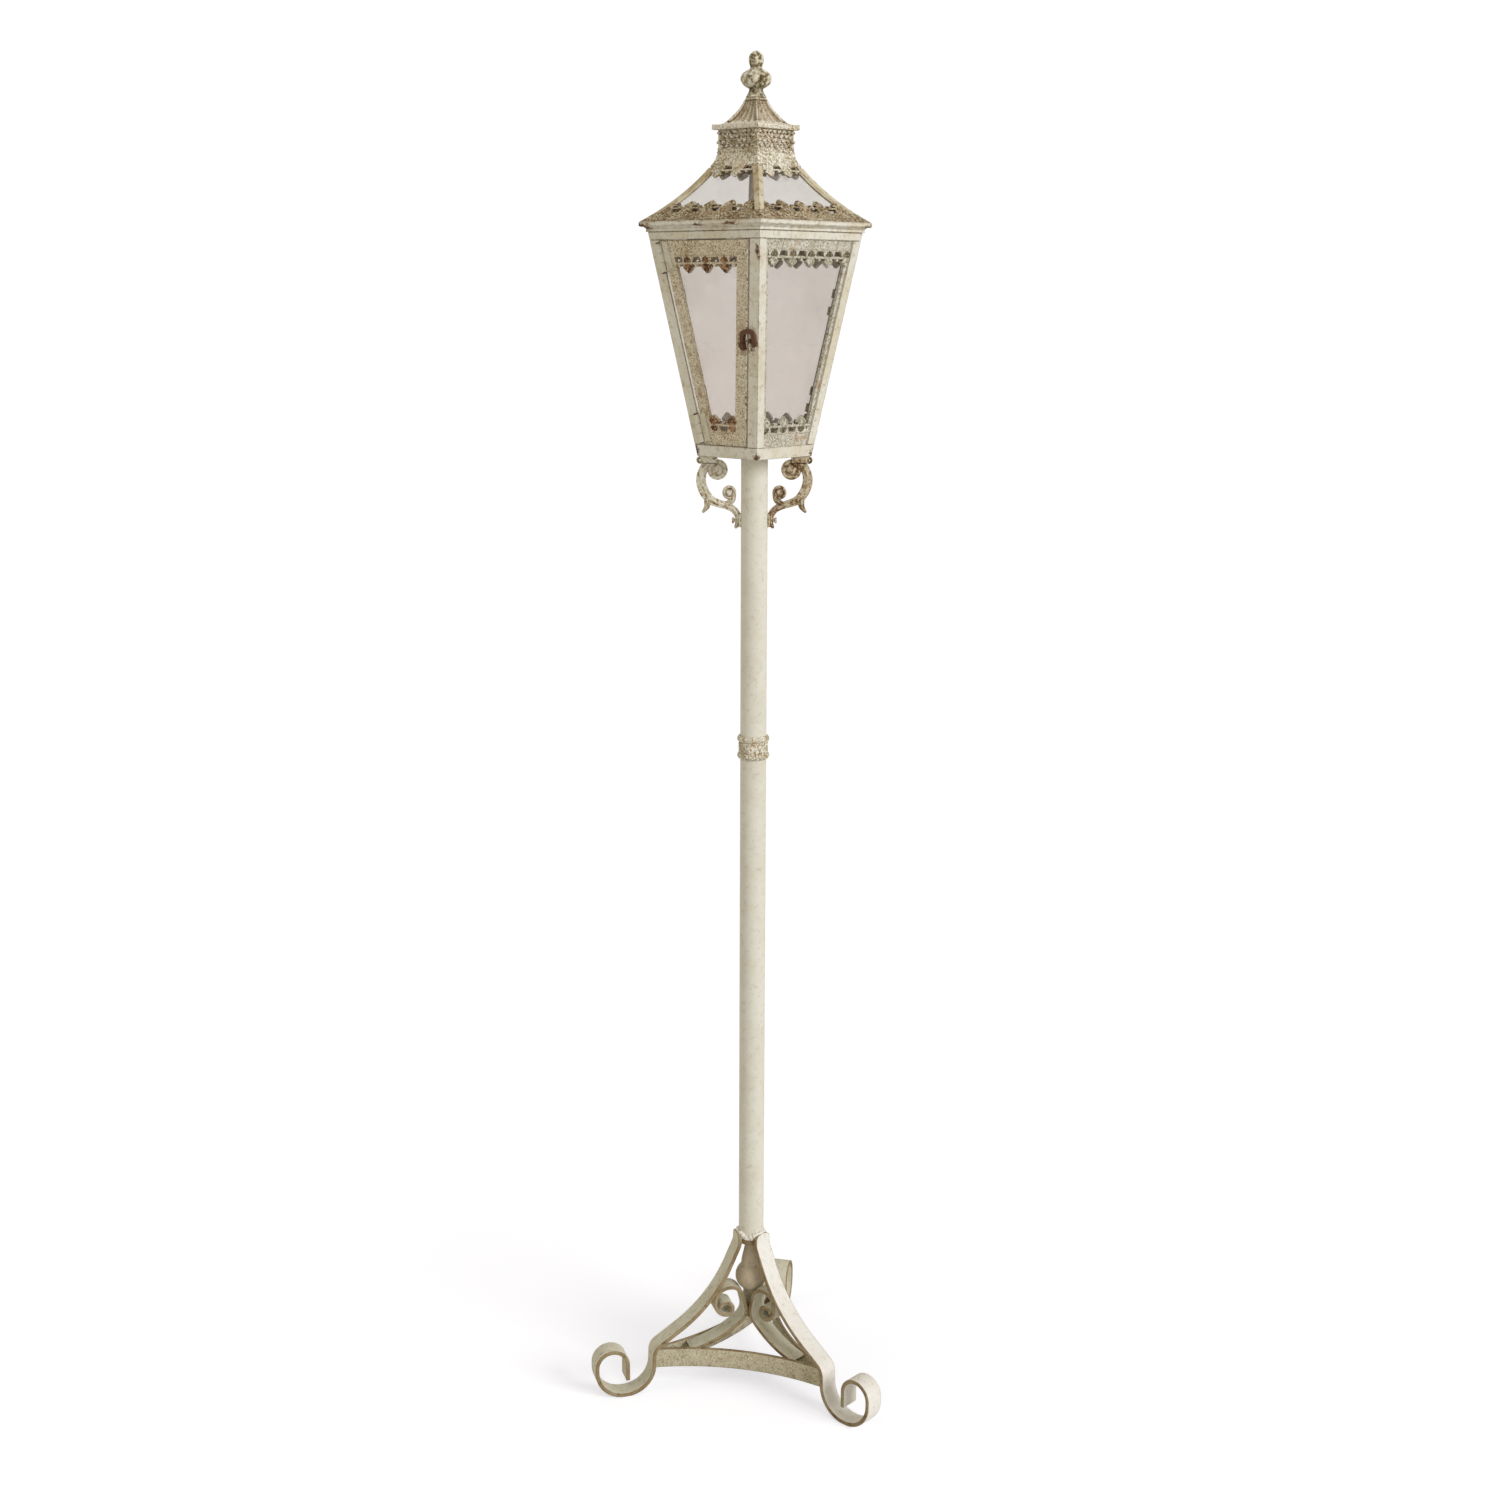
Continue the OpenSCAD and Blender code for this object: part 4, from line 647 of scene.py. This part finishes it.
# the far one has lost more of it and reads as brown with light ridges
cast_brown = cast_patina(
    "browned_white_paint_on_cast_scroll", "#D9CFB8", "#B5A17E", "#765838", "#A9794F",
    bare=0.28, size=4.0, seed=24.0, grime_and_shade=1.0, bumps=0.4, nooks=(0.99, 0.66), gritty=0.5)
top, out_x = 86.0, 69.3 - 6  # height, and reach along the diagonal
eye_x = out_x - 19.5
cast_points, cast_faces = joined([
    cast_eye(eye_x, top - 16, 12),
    cast_stroke([[eye_x + 6, top - 9.5, 9], [out_x - 6, top - 11, 10], [out_x - 1, top - 21, 11],
                 [out_x - 0.2, top - 31, 11.6], [out_x - 3.6, top - 42, 11.6],
                 [out_x - 11, top - 51.5, 10.5], [out_x - 21, top - 56, 9],
                 [out_x - 31, top - 59, 8.5], [out_x - 39.5, top - 64, 8],
                 [out_x - 45, top - 73, 8], [pole_r + 1.5, 7, 7]]),
    cast_eye(out_x - 33.5, top - 43, 8.3),
    cast_stroke([[out_x - 29, top - 58, 7], [out_x - 37, top - 52, 7],
                 [out_x - 38.2, top - 45, 7]]),
    cast_stroke([[out_x - 7.5, top - 52, 8], [out_x - 7, top - 59.5, 7],
                 [out_x - 2.8, top - 65.5, 3.4]]),
    cast_stroke([[out_x - 43.5, top - 70, 7], [out_x - 43.6, top - 79, 6.5],
                 [out_x - 41.4, 2.2, 4]]),
    block(eye_x, out_x + 1.5, top - 8, top),
    cast_eye(out_x + 1.2, top - 4.7, 4.4, 10),
    block(pole_r - 1.5, pole_r + 3, 2, 18),
])
cast_points[:, 2] += lantern_foot - top - gap
# nothing goes deeper than the tube's wall
wall_x = np.sqrt(np.maximum((pole_r + 0.05) ** 2 - cast_points[:, 1] ** 2, 0))
cast_points[:, 0] = np.maximum(cast_points[:, 0], wall_x)
for name, angle, finish in (("bracket_right", 45, cast_brown), ("bracket_left", 225, cast_paint)):
    casting = make(name + "_casting", (turned(cast_points, angle), cast_faces), finish)
    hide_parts(name)


# ---- Lantern body ----
# Bottom rail, corner posts, fascia and cornice of folded iron sheet, painted like the pole and
# rubbed through to brown on their edges. Their shapes are the frame's own.

def dress(material, *names):
    """Gives CAD nodes a material."""
    for name in names:
        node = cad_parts[name]
        for slot in node.material_slots:
            slot.material = material
        if not node.material_slots:
            node.data.materials.append(material)


# brown stains at the latch, on the corners and along the cornice: place, width and height
stains = [((58, -69.5, 1325), 10, 15), ((81, -84, 1427), 5, 12), ((40, -87, 1436), 18, 4),
          ((48.5, -49.8, 1195), 9, 8), ((-48, -49.5, 1199), 6, 14), ((49, 46, 1196), 5, 8),
          ((-92, -94.5, 1455), 20, 7), ((-2, -95, 1456), 10, 3), ((50, -95, 1457), 16, 3),
          ((95, 90, 1455), 10, 6)]
# paint on folded sheet: clean flats, rust pits, and edges worn to a thin brown line
sheet_paint = aged_paint(
    "rubbed_white_paint_on_sheet_iron", "#E7E4DA", "#D6CAB1", "#A5926F", "#69472B",
    patchy=0.65, pitted=0.95, worn=1.1, grime_and_shade=0.8, seed=31.0, streaks=stains)
dress(sheet_paint, "bottom_rail", "post_front_right", "post_back_right", "post_back_left",
      "post_front_left", "top_rail", "cornice", "floor_pan", "candle_dish", "tube_plug")
# thin leaves deep in the door's seam, with no worn edges
dress(aged_paint("antique_white_paint_on_hinge_leaves", "#DFDACB", "#CDC3AC", "#9C9275", "#69472B",
                 patchy=0.8, pitted=0.8, worn=0.1, grime_and_shade=0.2, seed=33.0, edge=0.0006),
      "hinge_leaves_post", "hinge_leaves_door")
# the ribs carry the weather: tan with brown edges
dress(aged_paint("browned_paint_on_roof_ribs", "#D9CFB6", "#B9A67F", "#8A7350", "#5E4028",
                 patchy=1.0, pitted=0.9, worn=1.0, seed=35.0),
      "roof_rib_front_right", "roof_rib_back_right", "roof_rib_back_left", "roof_rib_front_left")


# ---- Cast frames ----
# The sides' frames and the door, each with a pierced gallery at head and foot, and the roof's
# skirt and neck: castings with thin white paint over brown rust. Shapes are the frame's own.

# the door's stiles: cream, scratched and stained at the latch
door_paint = cast_patina(
    "worn_paint_on_cast_door", "#E9E0CD", "#DACEB4", "#A08963", "#B07C52",
    bare=0.30, size=1.8, seed=41.0, bumps=0.5, streaks=[((44, -69, 1327), 11, 19)])
# limewash brushed upwards on the sides: pale, with faint upright lines
washed = cast_patina(
    "white_wash_on_cast_iron", "#F0EDE4", "#E0DACB", "#A99C7E", "#BF9F78",
    bare=0.18, size=2.2, seed=47.0, hatch=0.4)
# mostly rust, with white left on the high grains
rusty = cast_patina(
    "rusted_casting_with_rests_of_white", "#D8CDB2", "#AE9A76", "#6A5037", "#B08A62",
    bare=0.5, size=2.6, seed=53.0, gritty=0.9)
# cream and green over brown, for the vents, the neck and the ring on the pole
mottled = cast_patina(
    "cream_and_green_patina_on_casting", "#F6F2E6", "#E3D8BE", "#9C835A", "#CFAE8C",
    bare=0.24, size=2.4, seed=57.0, nooks=(0.85, 0.35))
dress(door_paint, "door_frame")
dress(washed, "side_frame_right", "side_frame_back", "side_frame_left", "bracket_screws")
dress(rusty, "roof_skirt")
dress(mottled, "vent_band", "roof_neck")


# ---- Crown ----
# Cast cap over the vents: a stepped square top, five flutes on each side that run down its
# concave slope and end in scallops, and a thick brim with turned-up corners. Rust and old white.

def square_ring(d, height, hollow=0.0):
    """Ring of a square with half diagonal d at a height, its sides moved inwards by hollow; both
    may be arrays over the places along a side."""
    half = d / math.sqrt(2)
    x, y, z = np.broadcast_arrays(half - hollow, half * along, height)
    return np.concatenate([np.stack([x * c - y * s, x * s + y * c, z], -1)
                           for c, s in ((1, 0), (0, 1), (-1, 0), (0, -1))])


crown_z = 1562.5
along = np.linspace(-1, 1, 44, endpoint=False)
corner_lift = np.abs(along) ** 14
slope = np.array([[13.6, 32.8], [15.6, 28.9], [19.4, 23.6], [24.0, 18.8], [28.6, 14.2], [33.8, 9.6],
                  [38.6, 7.0], [43.5, 5.6], [47.6, 5.0]])
down = np.linspace(0, 1, 26)  # share of the slope's length from its top
length = np.concatenate([[0], np.cumsum(np.linalg.norm(np.diff(slope, axis=0), axis=1))])
slope = np.stack([np.interp(down, length / length[-1], slope[:, i]) for i in (0, 1)], 1)
crown_rings = [square_ring(d, z) for d, z in (
    (6.0, 35.9), (11.6, 35.9), (12.2, 35.3), (12.2, 33.9), (13.0, 33.3))]
# five round hollows with sharp ridges between them, which end in raised scallops
wave = np.abs(np.sin(2.5 * math.pi * (along + 1))) ** 0.7
for t, (d, z) in zip(down, slope):
    flute = 0.19 * min(d, 26) * wave * np.clip((0.62 + 0.16 * wave - t) / 0.05, 0, 1)
    scallop = 1.6 * wave * math.exp(-((t - 0.86) / 0.055) ** 2)
    crown_rings.append(square_ring(d, z + 7.5 * corner_lift * max(t - 0.8, 0), flute - scallop))
for d, z in ((49.6, 5.2), (50.4, 4.2), (50.4, 1.6), (49.6, 0.4), (44, 0.2)):
    crown_rings.append(square_ring(d, z + (1.3 * corner_lift if z > 4 else 0)))
crown_rings = np.array(crown_rings)
crown_rings[..., 2] += crown_z
# cream on the ridges, brown down the flutes
capped = cast_patina(
    "cream_patina_brown_in_the_grooves", "#F4F0E6", "#E6DDC9", "#A68E68", "#CDB290",
    bare=0.12, size=1.9, seed=58.0, bumps=0.4, grime_and_shade=0.9, nooks=(0.94, 0.50), gritty=0.45)
crown = make("crown_fluted", skin(crown_rings), capped, sharp=30)
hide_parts("crown")


# ---- Finial ----
# Cast finial: flared foot, bulb of six lobes with deep pits between them near its top, a narrow
# neck and a round bud with a small dark tip. Cream and green-grey over brown.

rows = np.array([[9.0, 0.1], [11.4, 0.1], [11.6, 1.0], [10.6, 2.4], [9.4, 4.4], [8.4, 6.6],
                 [7.9, 8.4], [8.3, 9.6], [10.4, 10.8], [13.6, 12.6], [16.2, 15.0], [17.8, 17.8],
                 [18.3, 20.6], [17.9, 23.2], [16.2, 25.8], [13.2, 28.0], [10.0, 29.6], [7.8, 30.8],
                 [7.0, 31.9], [6.7, 33.0], [7.2, 34.4], [8.2, 36.6], [8.8, 39.4], [8.8, 42.2],
                 [8.0, 45.0], [6.4, 47.4], [4.4, 49.2], [2.6, 50.4], [1.2, 50.9], [0.1, 51.0]])
rows = catmull(np.column_stack([rows, rows[:, 0]]), 3)[:, :2]
rows[:, 0] = np.clip(rows[:, 0], 0.05, 18.4)
finial_rings = lathe(rows, 120)
around = np.linspace(0, 2 * math.pi, 120, endpoint=False)
r, z = rows[:, :1], rows[:, 1:]
# grooves between six lobes on the bulb, a pit in each near the top, four soft leaves on the bud
lobe = 3.0 * np.exp(-((z - 20) / 6.5) ** 4) * (1 - np.abs(np.cos(3 * around)) ** 0.75)
off_pit = np.mod(around + math.pi / 6, math.pi / 3) - math.pi / 6
pit = 3.0 * np.exp(-((z - 25.4) / 2.3) ** 2) * np.exp(-(off_pit / 0.16) ** 2)
leaf = 0.35 * np.exp(-((z - 40) / 6) ** 4) * np.abs(np.sin(2 * around))
finial_rings[..., :2] *= (1 - (lobe + pit + leaf) / np.maximum(r, 3))[..., None]
finial_rings[..., 2] += crown_z + 36
# large blotches of cream and green-grey, near black in the pits
blotched = cast_patina(
    "green_grey_and_cream_patina_on_finial", "#EFEADC", "#D2C8AD", "#746543", "#A98B62",
    bare=0.34, size=4.6, seed=62.0, bumps=0.6, grime_and_shade=1.0, nooks=(0.96, 0.55), gritty=0.5)
finial = make("finial_lobed", skin(finial_rings), blotched, sharp=50)
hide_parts("finial")


# ---- Vent band ----
# The square vent band keeps its drilled holes and gets four rows of small raised leaves between
# and over them, each turned its own way, a bead at its foot and a finer one below.

def half_round(p, q, up, out, r, height):
    """Half-round bead from p to q on a face with outward normal out, sunk 0.15 mm into it."""
    a = np.linspace(0, math.pi, 7)
    section = np.outer(np.cos(a) * r, up) + np.outer(np.sin(a) * height - 0.15, out)
    return skin(np.array([np.asarray(p) + section, np.asarray(q) + section]))


def knob(centre, u, v, out, half_u, half_v, height):
    """Small raised leaf: a pointed oval with a ridge, on the plane of u and v."""
    a = np.linspace(0, 2 * math.pi, 8, endpoint=False)
    bulge = np.sin(a) * np.abs(np.sin(a)) ** 0.6
    oval = np.outer(np.cos(a) * half_u, u) + np.outer(bulge * half_v, v)
    return skin(np.array([centre + oval - out * 0.15, centre + oval * 0.75 + out * height * 0.7,
                          centre + oval * 0.25 + out * height]))


band_half, band_z = 30.5, 1541.1
row_gap, leaf_gap = 5.2, 8.0
up = np.array([0, 0, 1])
chance = np.random.default_rng(7)
parts = []
for out, level in zip(np.array([(0, -1, 0), (1, 0, 0), (0, 1, 0), (-1, 0, 0)]),
                      np.array([(1, 0, 0), (0, 1, 0), (-1, 0, 0), (0, -1, 0)])):
    for j in range(4):
        for i in range(7 + j % 2):
            x = (i - (6 + j % 2) / 2) * leaf_gap + chance.uniform(-0.6, 0.6)
            z = band_z + 10.9 + (j - 1.5) * row_gap + chance.uniform(-0.4, 0.4)
            size = chance.uniform(0.9, 1.15)
            lean = chance.uniform(-0.35, 0.35)
            parts.append(knob(out * band_half + level * x + up * z,
                              level * math.cos(lean) + up * math.sin(lean),
                              up * math.cos(lean) - level * math.sin(lean), out,
                              3.9 * size, 2.2 * size, 2.6 * size))
    for z, r, proud in ((band_z + 0.9, 1.0, 0), (band_z - 3.2, 0.7, 0.75)):
        side = band_half + proud
        parts.append(half_round(out * side - level * (side + 0.5) + up * z,
                                out * side + level * (side + 0.5) + up * z, up, out, r, r))
make("vent_band_leaves", joined(parts), mottled)


# ---- Joint ring ----
# Cast ring over the joint of the pole's two tubes: a band with slanting grooves between two
# notched beads. Same cream and green patina as the vents.

half_rows = np.array([[18.3, 0.0], [18.2, 3.0], [17.9, 5.6], [17.3, 6.6], [18.0, 7.2], [19.2, 8.4],
                      [19.6, 10.4], [19.2, 12.4], [18.0, 13.8], [17.4, 14.4], [15.95, 14.4]])
ring_rows = np.vstack([half_rows[:0:-1] * [1, -1], half_rows])
ring_rows = catmull(np.column_stack([ring_rows, ring_rows[:, 0]]), 2)[:, :2]
ring_rings = lathe(ring_rows, 160)
around = np.linspace(0, 2 * math.pi, 160, endpoint=False)
r, z = ring_rows[:, :1], ring_rows[:, 1:]
# 20 grooves on the band, 40 notches on each bead
carved = 0.9 * np.abs(np.sin(10 * around + z * 0.35)) ** 0.7 * np.exp(-(z / 5.6) ** 6)
carved = carved + 0.35 * np.abs(np.sin(20 * around)) * np.exp(-((np.abs(z) - 10.4) / 2.4) ** 4)
ring_rings[..., :2] *= (np.maximum(r - carved, 15.95) / r)[..., None]
ring_rings[..., 2] += joint_z
ring = make("joint_ring_carved", skin(ring_rings, loop=True), mottled,
            sharp=50)
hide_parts("joint_collar")


# ---- Gallery reliefs ----
# Raised ornament cast on the pierced galleries: spade leaves with a vein, a palmette of five
# lobes over each, a bead along the crossbar and a finer one along the plain band.

foot_half, head_half, wall_rise = 47.7, 87.8, 256.2
tilt = math.atan((head_half - foot_half) / wall_rise)
wall_w, rail_w = 247.2 / math.cos(tilt), 13.5 / math.cos(tilt)


def half_at(w):
    """Half width of a wall at w up its slope."""
    return foot_half + w * math.sin(tilt)


def on_wall(k, p):
    """Points (x along, w up the slope, z outwards) of wall k: 0 door, 1 right, 2 back, 3 left."""
    p = np.asarray(p, float)
    out = np.stack([p[..., 0],
                    -foot_half - p[..., 1] * math.sin(tilt) - p[..., 2] * math.cos(tilt),
                    lantern_foot + p[..., 1] * math.cos(tilt) - p[..., 2] * math.sin(tilt)], -1)
    return turned(out, 90 * k)


def relief(outline, height):
    """Domed patch over a plane outline: its edge sunk a little, its middle veined."""
    c = outline.mean(0)
    return skin(np.array([
        np.column_stack([c + (outline - c) * share, np.full(len(outline), z)]) for share, z in (
            (1.0, -0.2), (0.95, 0.35 * height), (0.78, 0.8 * height), (0.5, height),
            (0.16, 0.75 * height))]))


half_leaf = np.array([[0, -9.8], [2.4, -8.0], [4.5, -6.2], [6.6, -4.6], [7.9, -2.4], [4.6, 0.2],
                      [3.4, 2.2]])
spade = np.vstack([half_leaf[:0:-1] * [-1, 1], half_leaf, [[0, 3.0]]])
a = np.linspace(0, 2 * math.pi, 12, endpoint=False)
lobe_y = 3.4 - 3.4 * np.cos(a)
lobe_x = 1.9 * np.sin(a) * (0.45 + 0.55 * lobe_y / 6.8)


def gallery(k, w0, up, first, pitch, count, z, height, short):
    """Leaves, palmettes and beads of one pierced row on wall k, which starts at w0 and runs down
    (up=1) or up (up=-1); its beads end short of the wall's sides."""
    def put(part, x=0.0):
        """A part of the row moved to x and on to the wall."""
        points, faces = part
        return on_wall(k, (points + [x, 0, 0]) * [1, up, 1] + [0, w0, z]), faces

    leaves, fans, beads = [], [], []
    for x in first + pitch * np.arange(count):
        leaves.append(put(relief(spade + [0, -10], height), x))
        for angle, size in ((-64, 0.98), (-33, 1.06), (0, 1.1), (33, 1.06), (64, 0.98)):
            c, s = math.cos(math.radians(angle)), math.sin(math.radians(angle))
            lobe = np.stack([lobe_x * c + lobe_y * s, lobe_y * c - lobe_x * s], 1)
            fans.append(put(relief(lobe * size + [0, -7.6], height * 0.9), x))
    for y, r in ((-8.5, 1.15), (0.4, 0.7)):
        end = half_at(w0 + up * y) - short
        beads.append(put(half_round([-end, y, 0], [end, y, 0], [0, 1, 0], [0, 0, 1], r, r)))
    return joined(leaves), joined(fans), joined(beads)


# leaves that have lost all paint: orange-brown
brown_leaf = cast_patina(
    "orange_rust_on_cast_leaf", "#BE9A78", "#95704F", "#4A3020", "#C08A60",
    bare=0.45, size=3.6, seed=71.0, grime_and_shade=1.0)
# leaves with thin grey-green paint, lighter than the openings behind them
grey_leaf = cast_patina(
    "grey_green_paint_on_cast_leaf", "#E0DDCE", "#C3C0AB", "#8F8464", "#B99872",
    bare=0.30, size=2.4, seed=77.0, grime_and_shade=0.9)
# the palmettes between them are dark olive
dark_leaf = cast_patina(
    "dark_olive_rust_on_palmettes", "#A9A48B", "#827C63", "#514734", "#A9825A",
    bare=0.40, size=2.2, seed=81.0, grime_and_shade=0.9)
for k, name in ((1, "right"), (2, "back"), (3, "left")):
    for end, w0, up, first, count in (("head", wall_w - 12, 1, -56.42, 5),
                                      ("foot", rail_w + 15, -1, -36.58, 3)):
        leaf, fan, bead = gallery(k, w0, up, first, 31.0, count, -2.6, 1.5, 12.2)
        where = name + "_" + end
        make("leaves_" + where, leaf, grey_leaf, sharp=30)
        make("palmettes_" + where, fan, dark_leaf, sharp=60)
        make("beads_" + where, bead, washed)
for end, w0, up, first, count in (("head", wall_w - 18.5, 1, -29.0, 3),
                                  ("foot", rail_w + 16.5, -1, -14.5, 2)):
    leaf, fan, bead = gallery(0, w0, up, first, 29.0, count, 0, 1.3, 34.7)
    make("leaves_door_" + end, leaf, brown_leaf, body="door", sharp=30)
    make("palmettes_door_" + end, fan, brown_leaf, body="door", sharp=60)
    make("beads_door_" + end, bead, door_paint, body="door")


# ---- Door lips ----
# A narrow raised lip along each long edge of the door. The left one is pure white, a painted
# highlight for the light that shows through the door's seam; the right one is broken into a row
# of light and dark specks, painted light and shade of the seam beside it.

def door_lip(side, inset):
    """Half-round lip along the door's slanted edge, side -1 left or 1 right, inset from the
    wall's own edge."""
    p, q = (np.array([side * (half_at(w) - inset), w, 0]) for w in (rail_w + 3, wall_w - 3))
    points, faces = half_round(p, q, [1, 0, 0], [0, 0, 1], 1.4, 0.8)
    return on_wall(0, points), faces


# pure white with no grime: a painted highlight for the light through the door's left seam
seam_light_white = aged_paint(
    "white_paint_as_painted_light_on_lip", "#FFFFFF", "#FAF8F3", "#D8CFBB", "#7A5A3C",
    patchy=0.3, worn=0.0, grime_and_shade=0.0, seed=91.0)
# paint broken into chips with dark iron between them: painted light and shade of the door's right
# seam
seam_light_and_shade_chips = cast_patina(
    "chipped_paint_as_seam_light_and_shade", "#F8F4EA", "#E6DCC6", "#4A3422", "#B08A62",
    bare=0.12, size=2.4, seed=95.0, grime_and_shade=0.0, gritty=1.0)
make("door_lip_left", door_lip(-1, 18.35), seam_light_white, body="door")
make("door_lip_right", door_lip(1, 18.2), seam_light_and_shade_chips, body="door")


# ---- Latch, pins, clips and bare steel ----
# The hook, its rivet and peg and the hinge pins are small iron parts that were never painted
# well. Spring clips hold the panes from inside; plugs, nut and rods are hidden turned steel.

# old rust with hardly any paint: dark brown and rough
dark = aged_paint(
    "dark_rust_on_small_iron", "#66452F", "#4C3222", "#35231A", "#7C4E2B",
    patchy=1.0, pitted=0.9, worn=0.2, grime_and_shade=0.8, bumps=0.6, seed=61.0, edge=0.0006)
dress(dark, "latch_hook", "latch_rivet", "latch_peg", "hinge_pins")
dress(rusty, "pane_clips", "door_clips")
# bare mild steel off the lathe: grey, with fine rings across its length
steel, tree = blank("bare_turned_steel")
at = add(tree, "TexCoord", out=3)
lines = blotches(tree, add(tree, "VectorMath", at, (1, 1, 30), operation="MULTIPLY"), 120)
tone = layered(tree, "#8B8780", (add(tree, "MapRange", lines, 0.3, 0.7, **smooth), "#6C6760"))
surface(steel, add(tree, "BsdfPrincipled", Base_Color=tone, Metallic=1.0, Roughness=add(
    tree, "MapRange", lines, 0.3, 0.7, 0.32, 0.5, **smooth)))
dress(steel, "pole_coupler", "pole_head_plug", "stud_nut", "crown_rod")


# ---- Panes ----
# Old window glass, cut to the frames and slid in behind them, and curved under the roof's ribs.
# A little grey, with an uneven film of dust.

def window(name, tint):
    """Thin glass: straight through with a tint, a film of dust in clouds of 70 mm, and a mirror
    by Fresnel."""
    glass, tree = blank(name)
    cloud = blotches(tree, add(tree, "TexCoord", out=3), 14, 5)
    film = add(tree, "MapRange", cloud, 0.42, 0.80, 0.02, 0.10, **smooth)
    clear = add(tree, "BsdfTransparent", tint)
    dust = add(tree, "BsdfDiffuse", linear("#D8D2CC"))
    gloss = add(tree, "BsdfGlossy", (1, 1, 1, 1), Roughness=0.04)
    # no mirror on a sheet's inner side, where the light leaves the glass
    front = add(tree, "Math", 1.0, add(tree, "NewGeometry", out=6), operation="SUBTRACT")
    mirror = add(tree, "Math", add(tree, "Fresnel", IOR=1.5), front, **times)
    body = add(tree, "MixShader", film, clear, dust)
    return surface(glass, add(tree, "MixShader", mirror, body, gloss))


# drawn sheet glass greyed by age; the roof's is thinner and clearer
dress(window("old_grey_window_glass", (0.890, 0.868, 0.850, 1)), "pane_right", "pane_back",
      "pane_left", "door_pane")
dress(window("thin_roof_glass", (0.908, 0.897, 0.880, 1)), "roof_pane_front", "roof_pane_right",
      "roof_pane_back", "roof_pane_left")
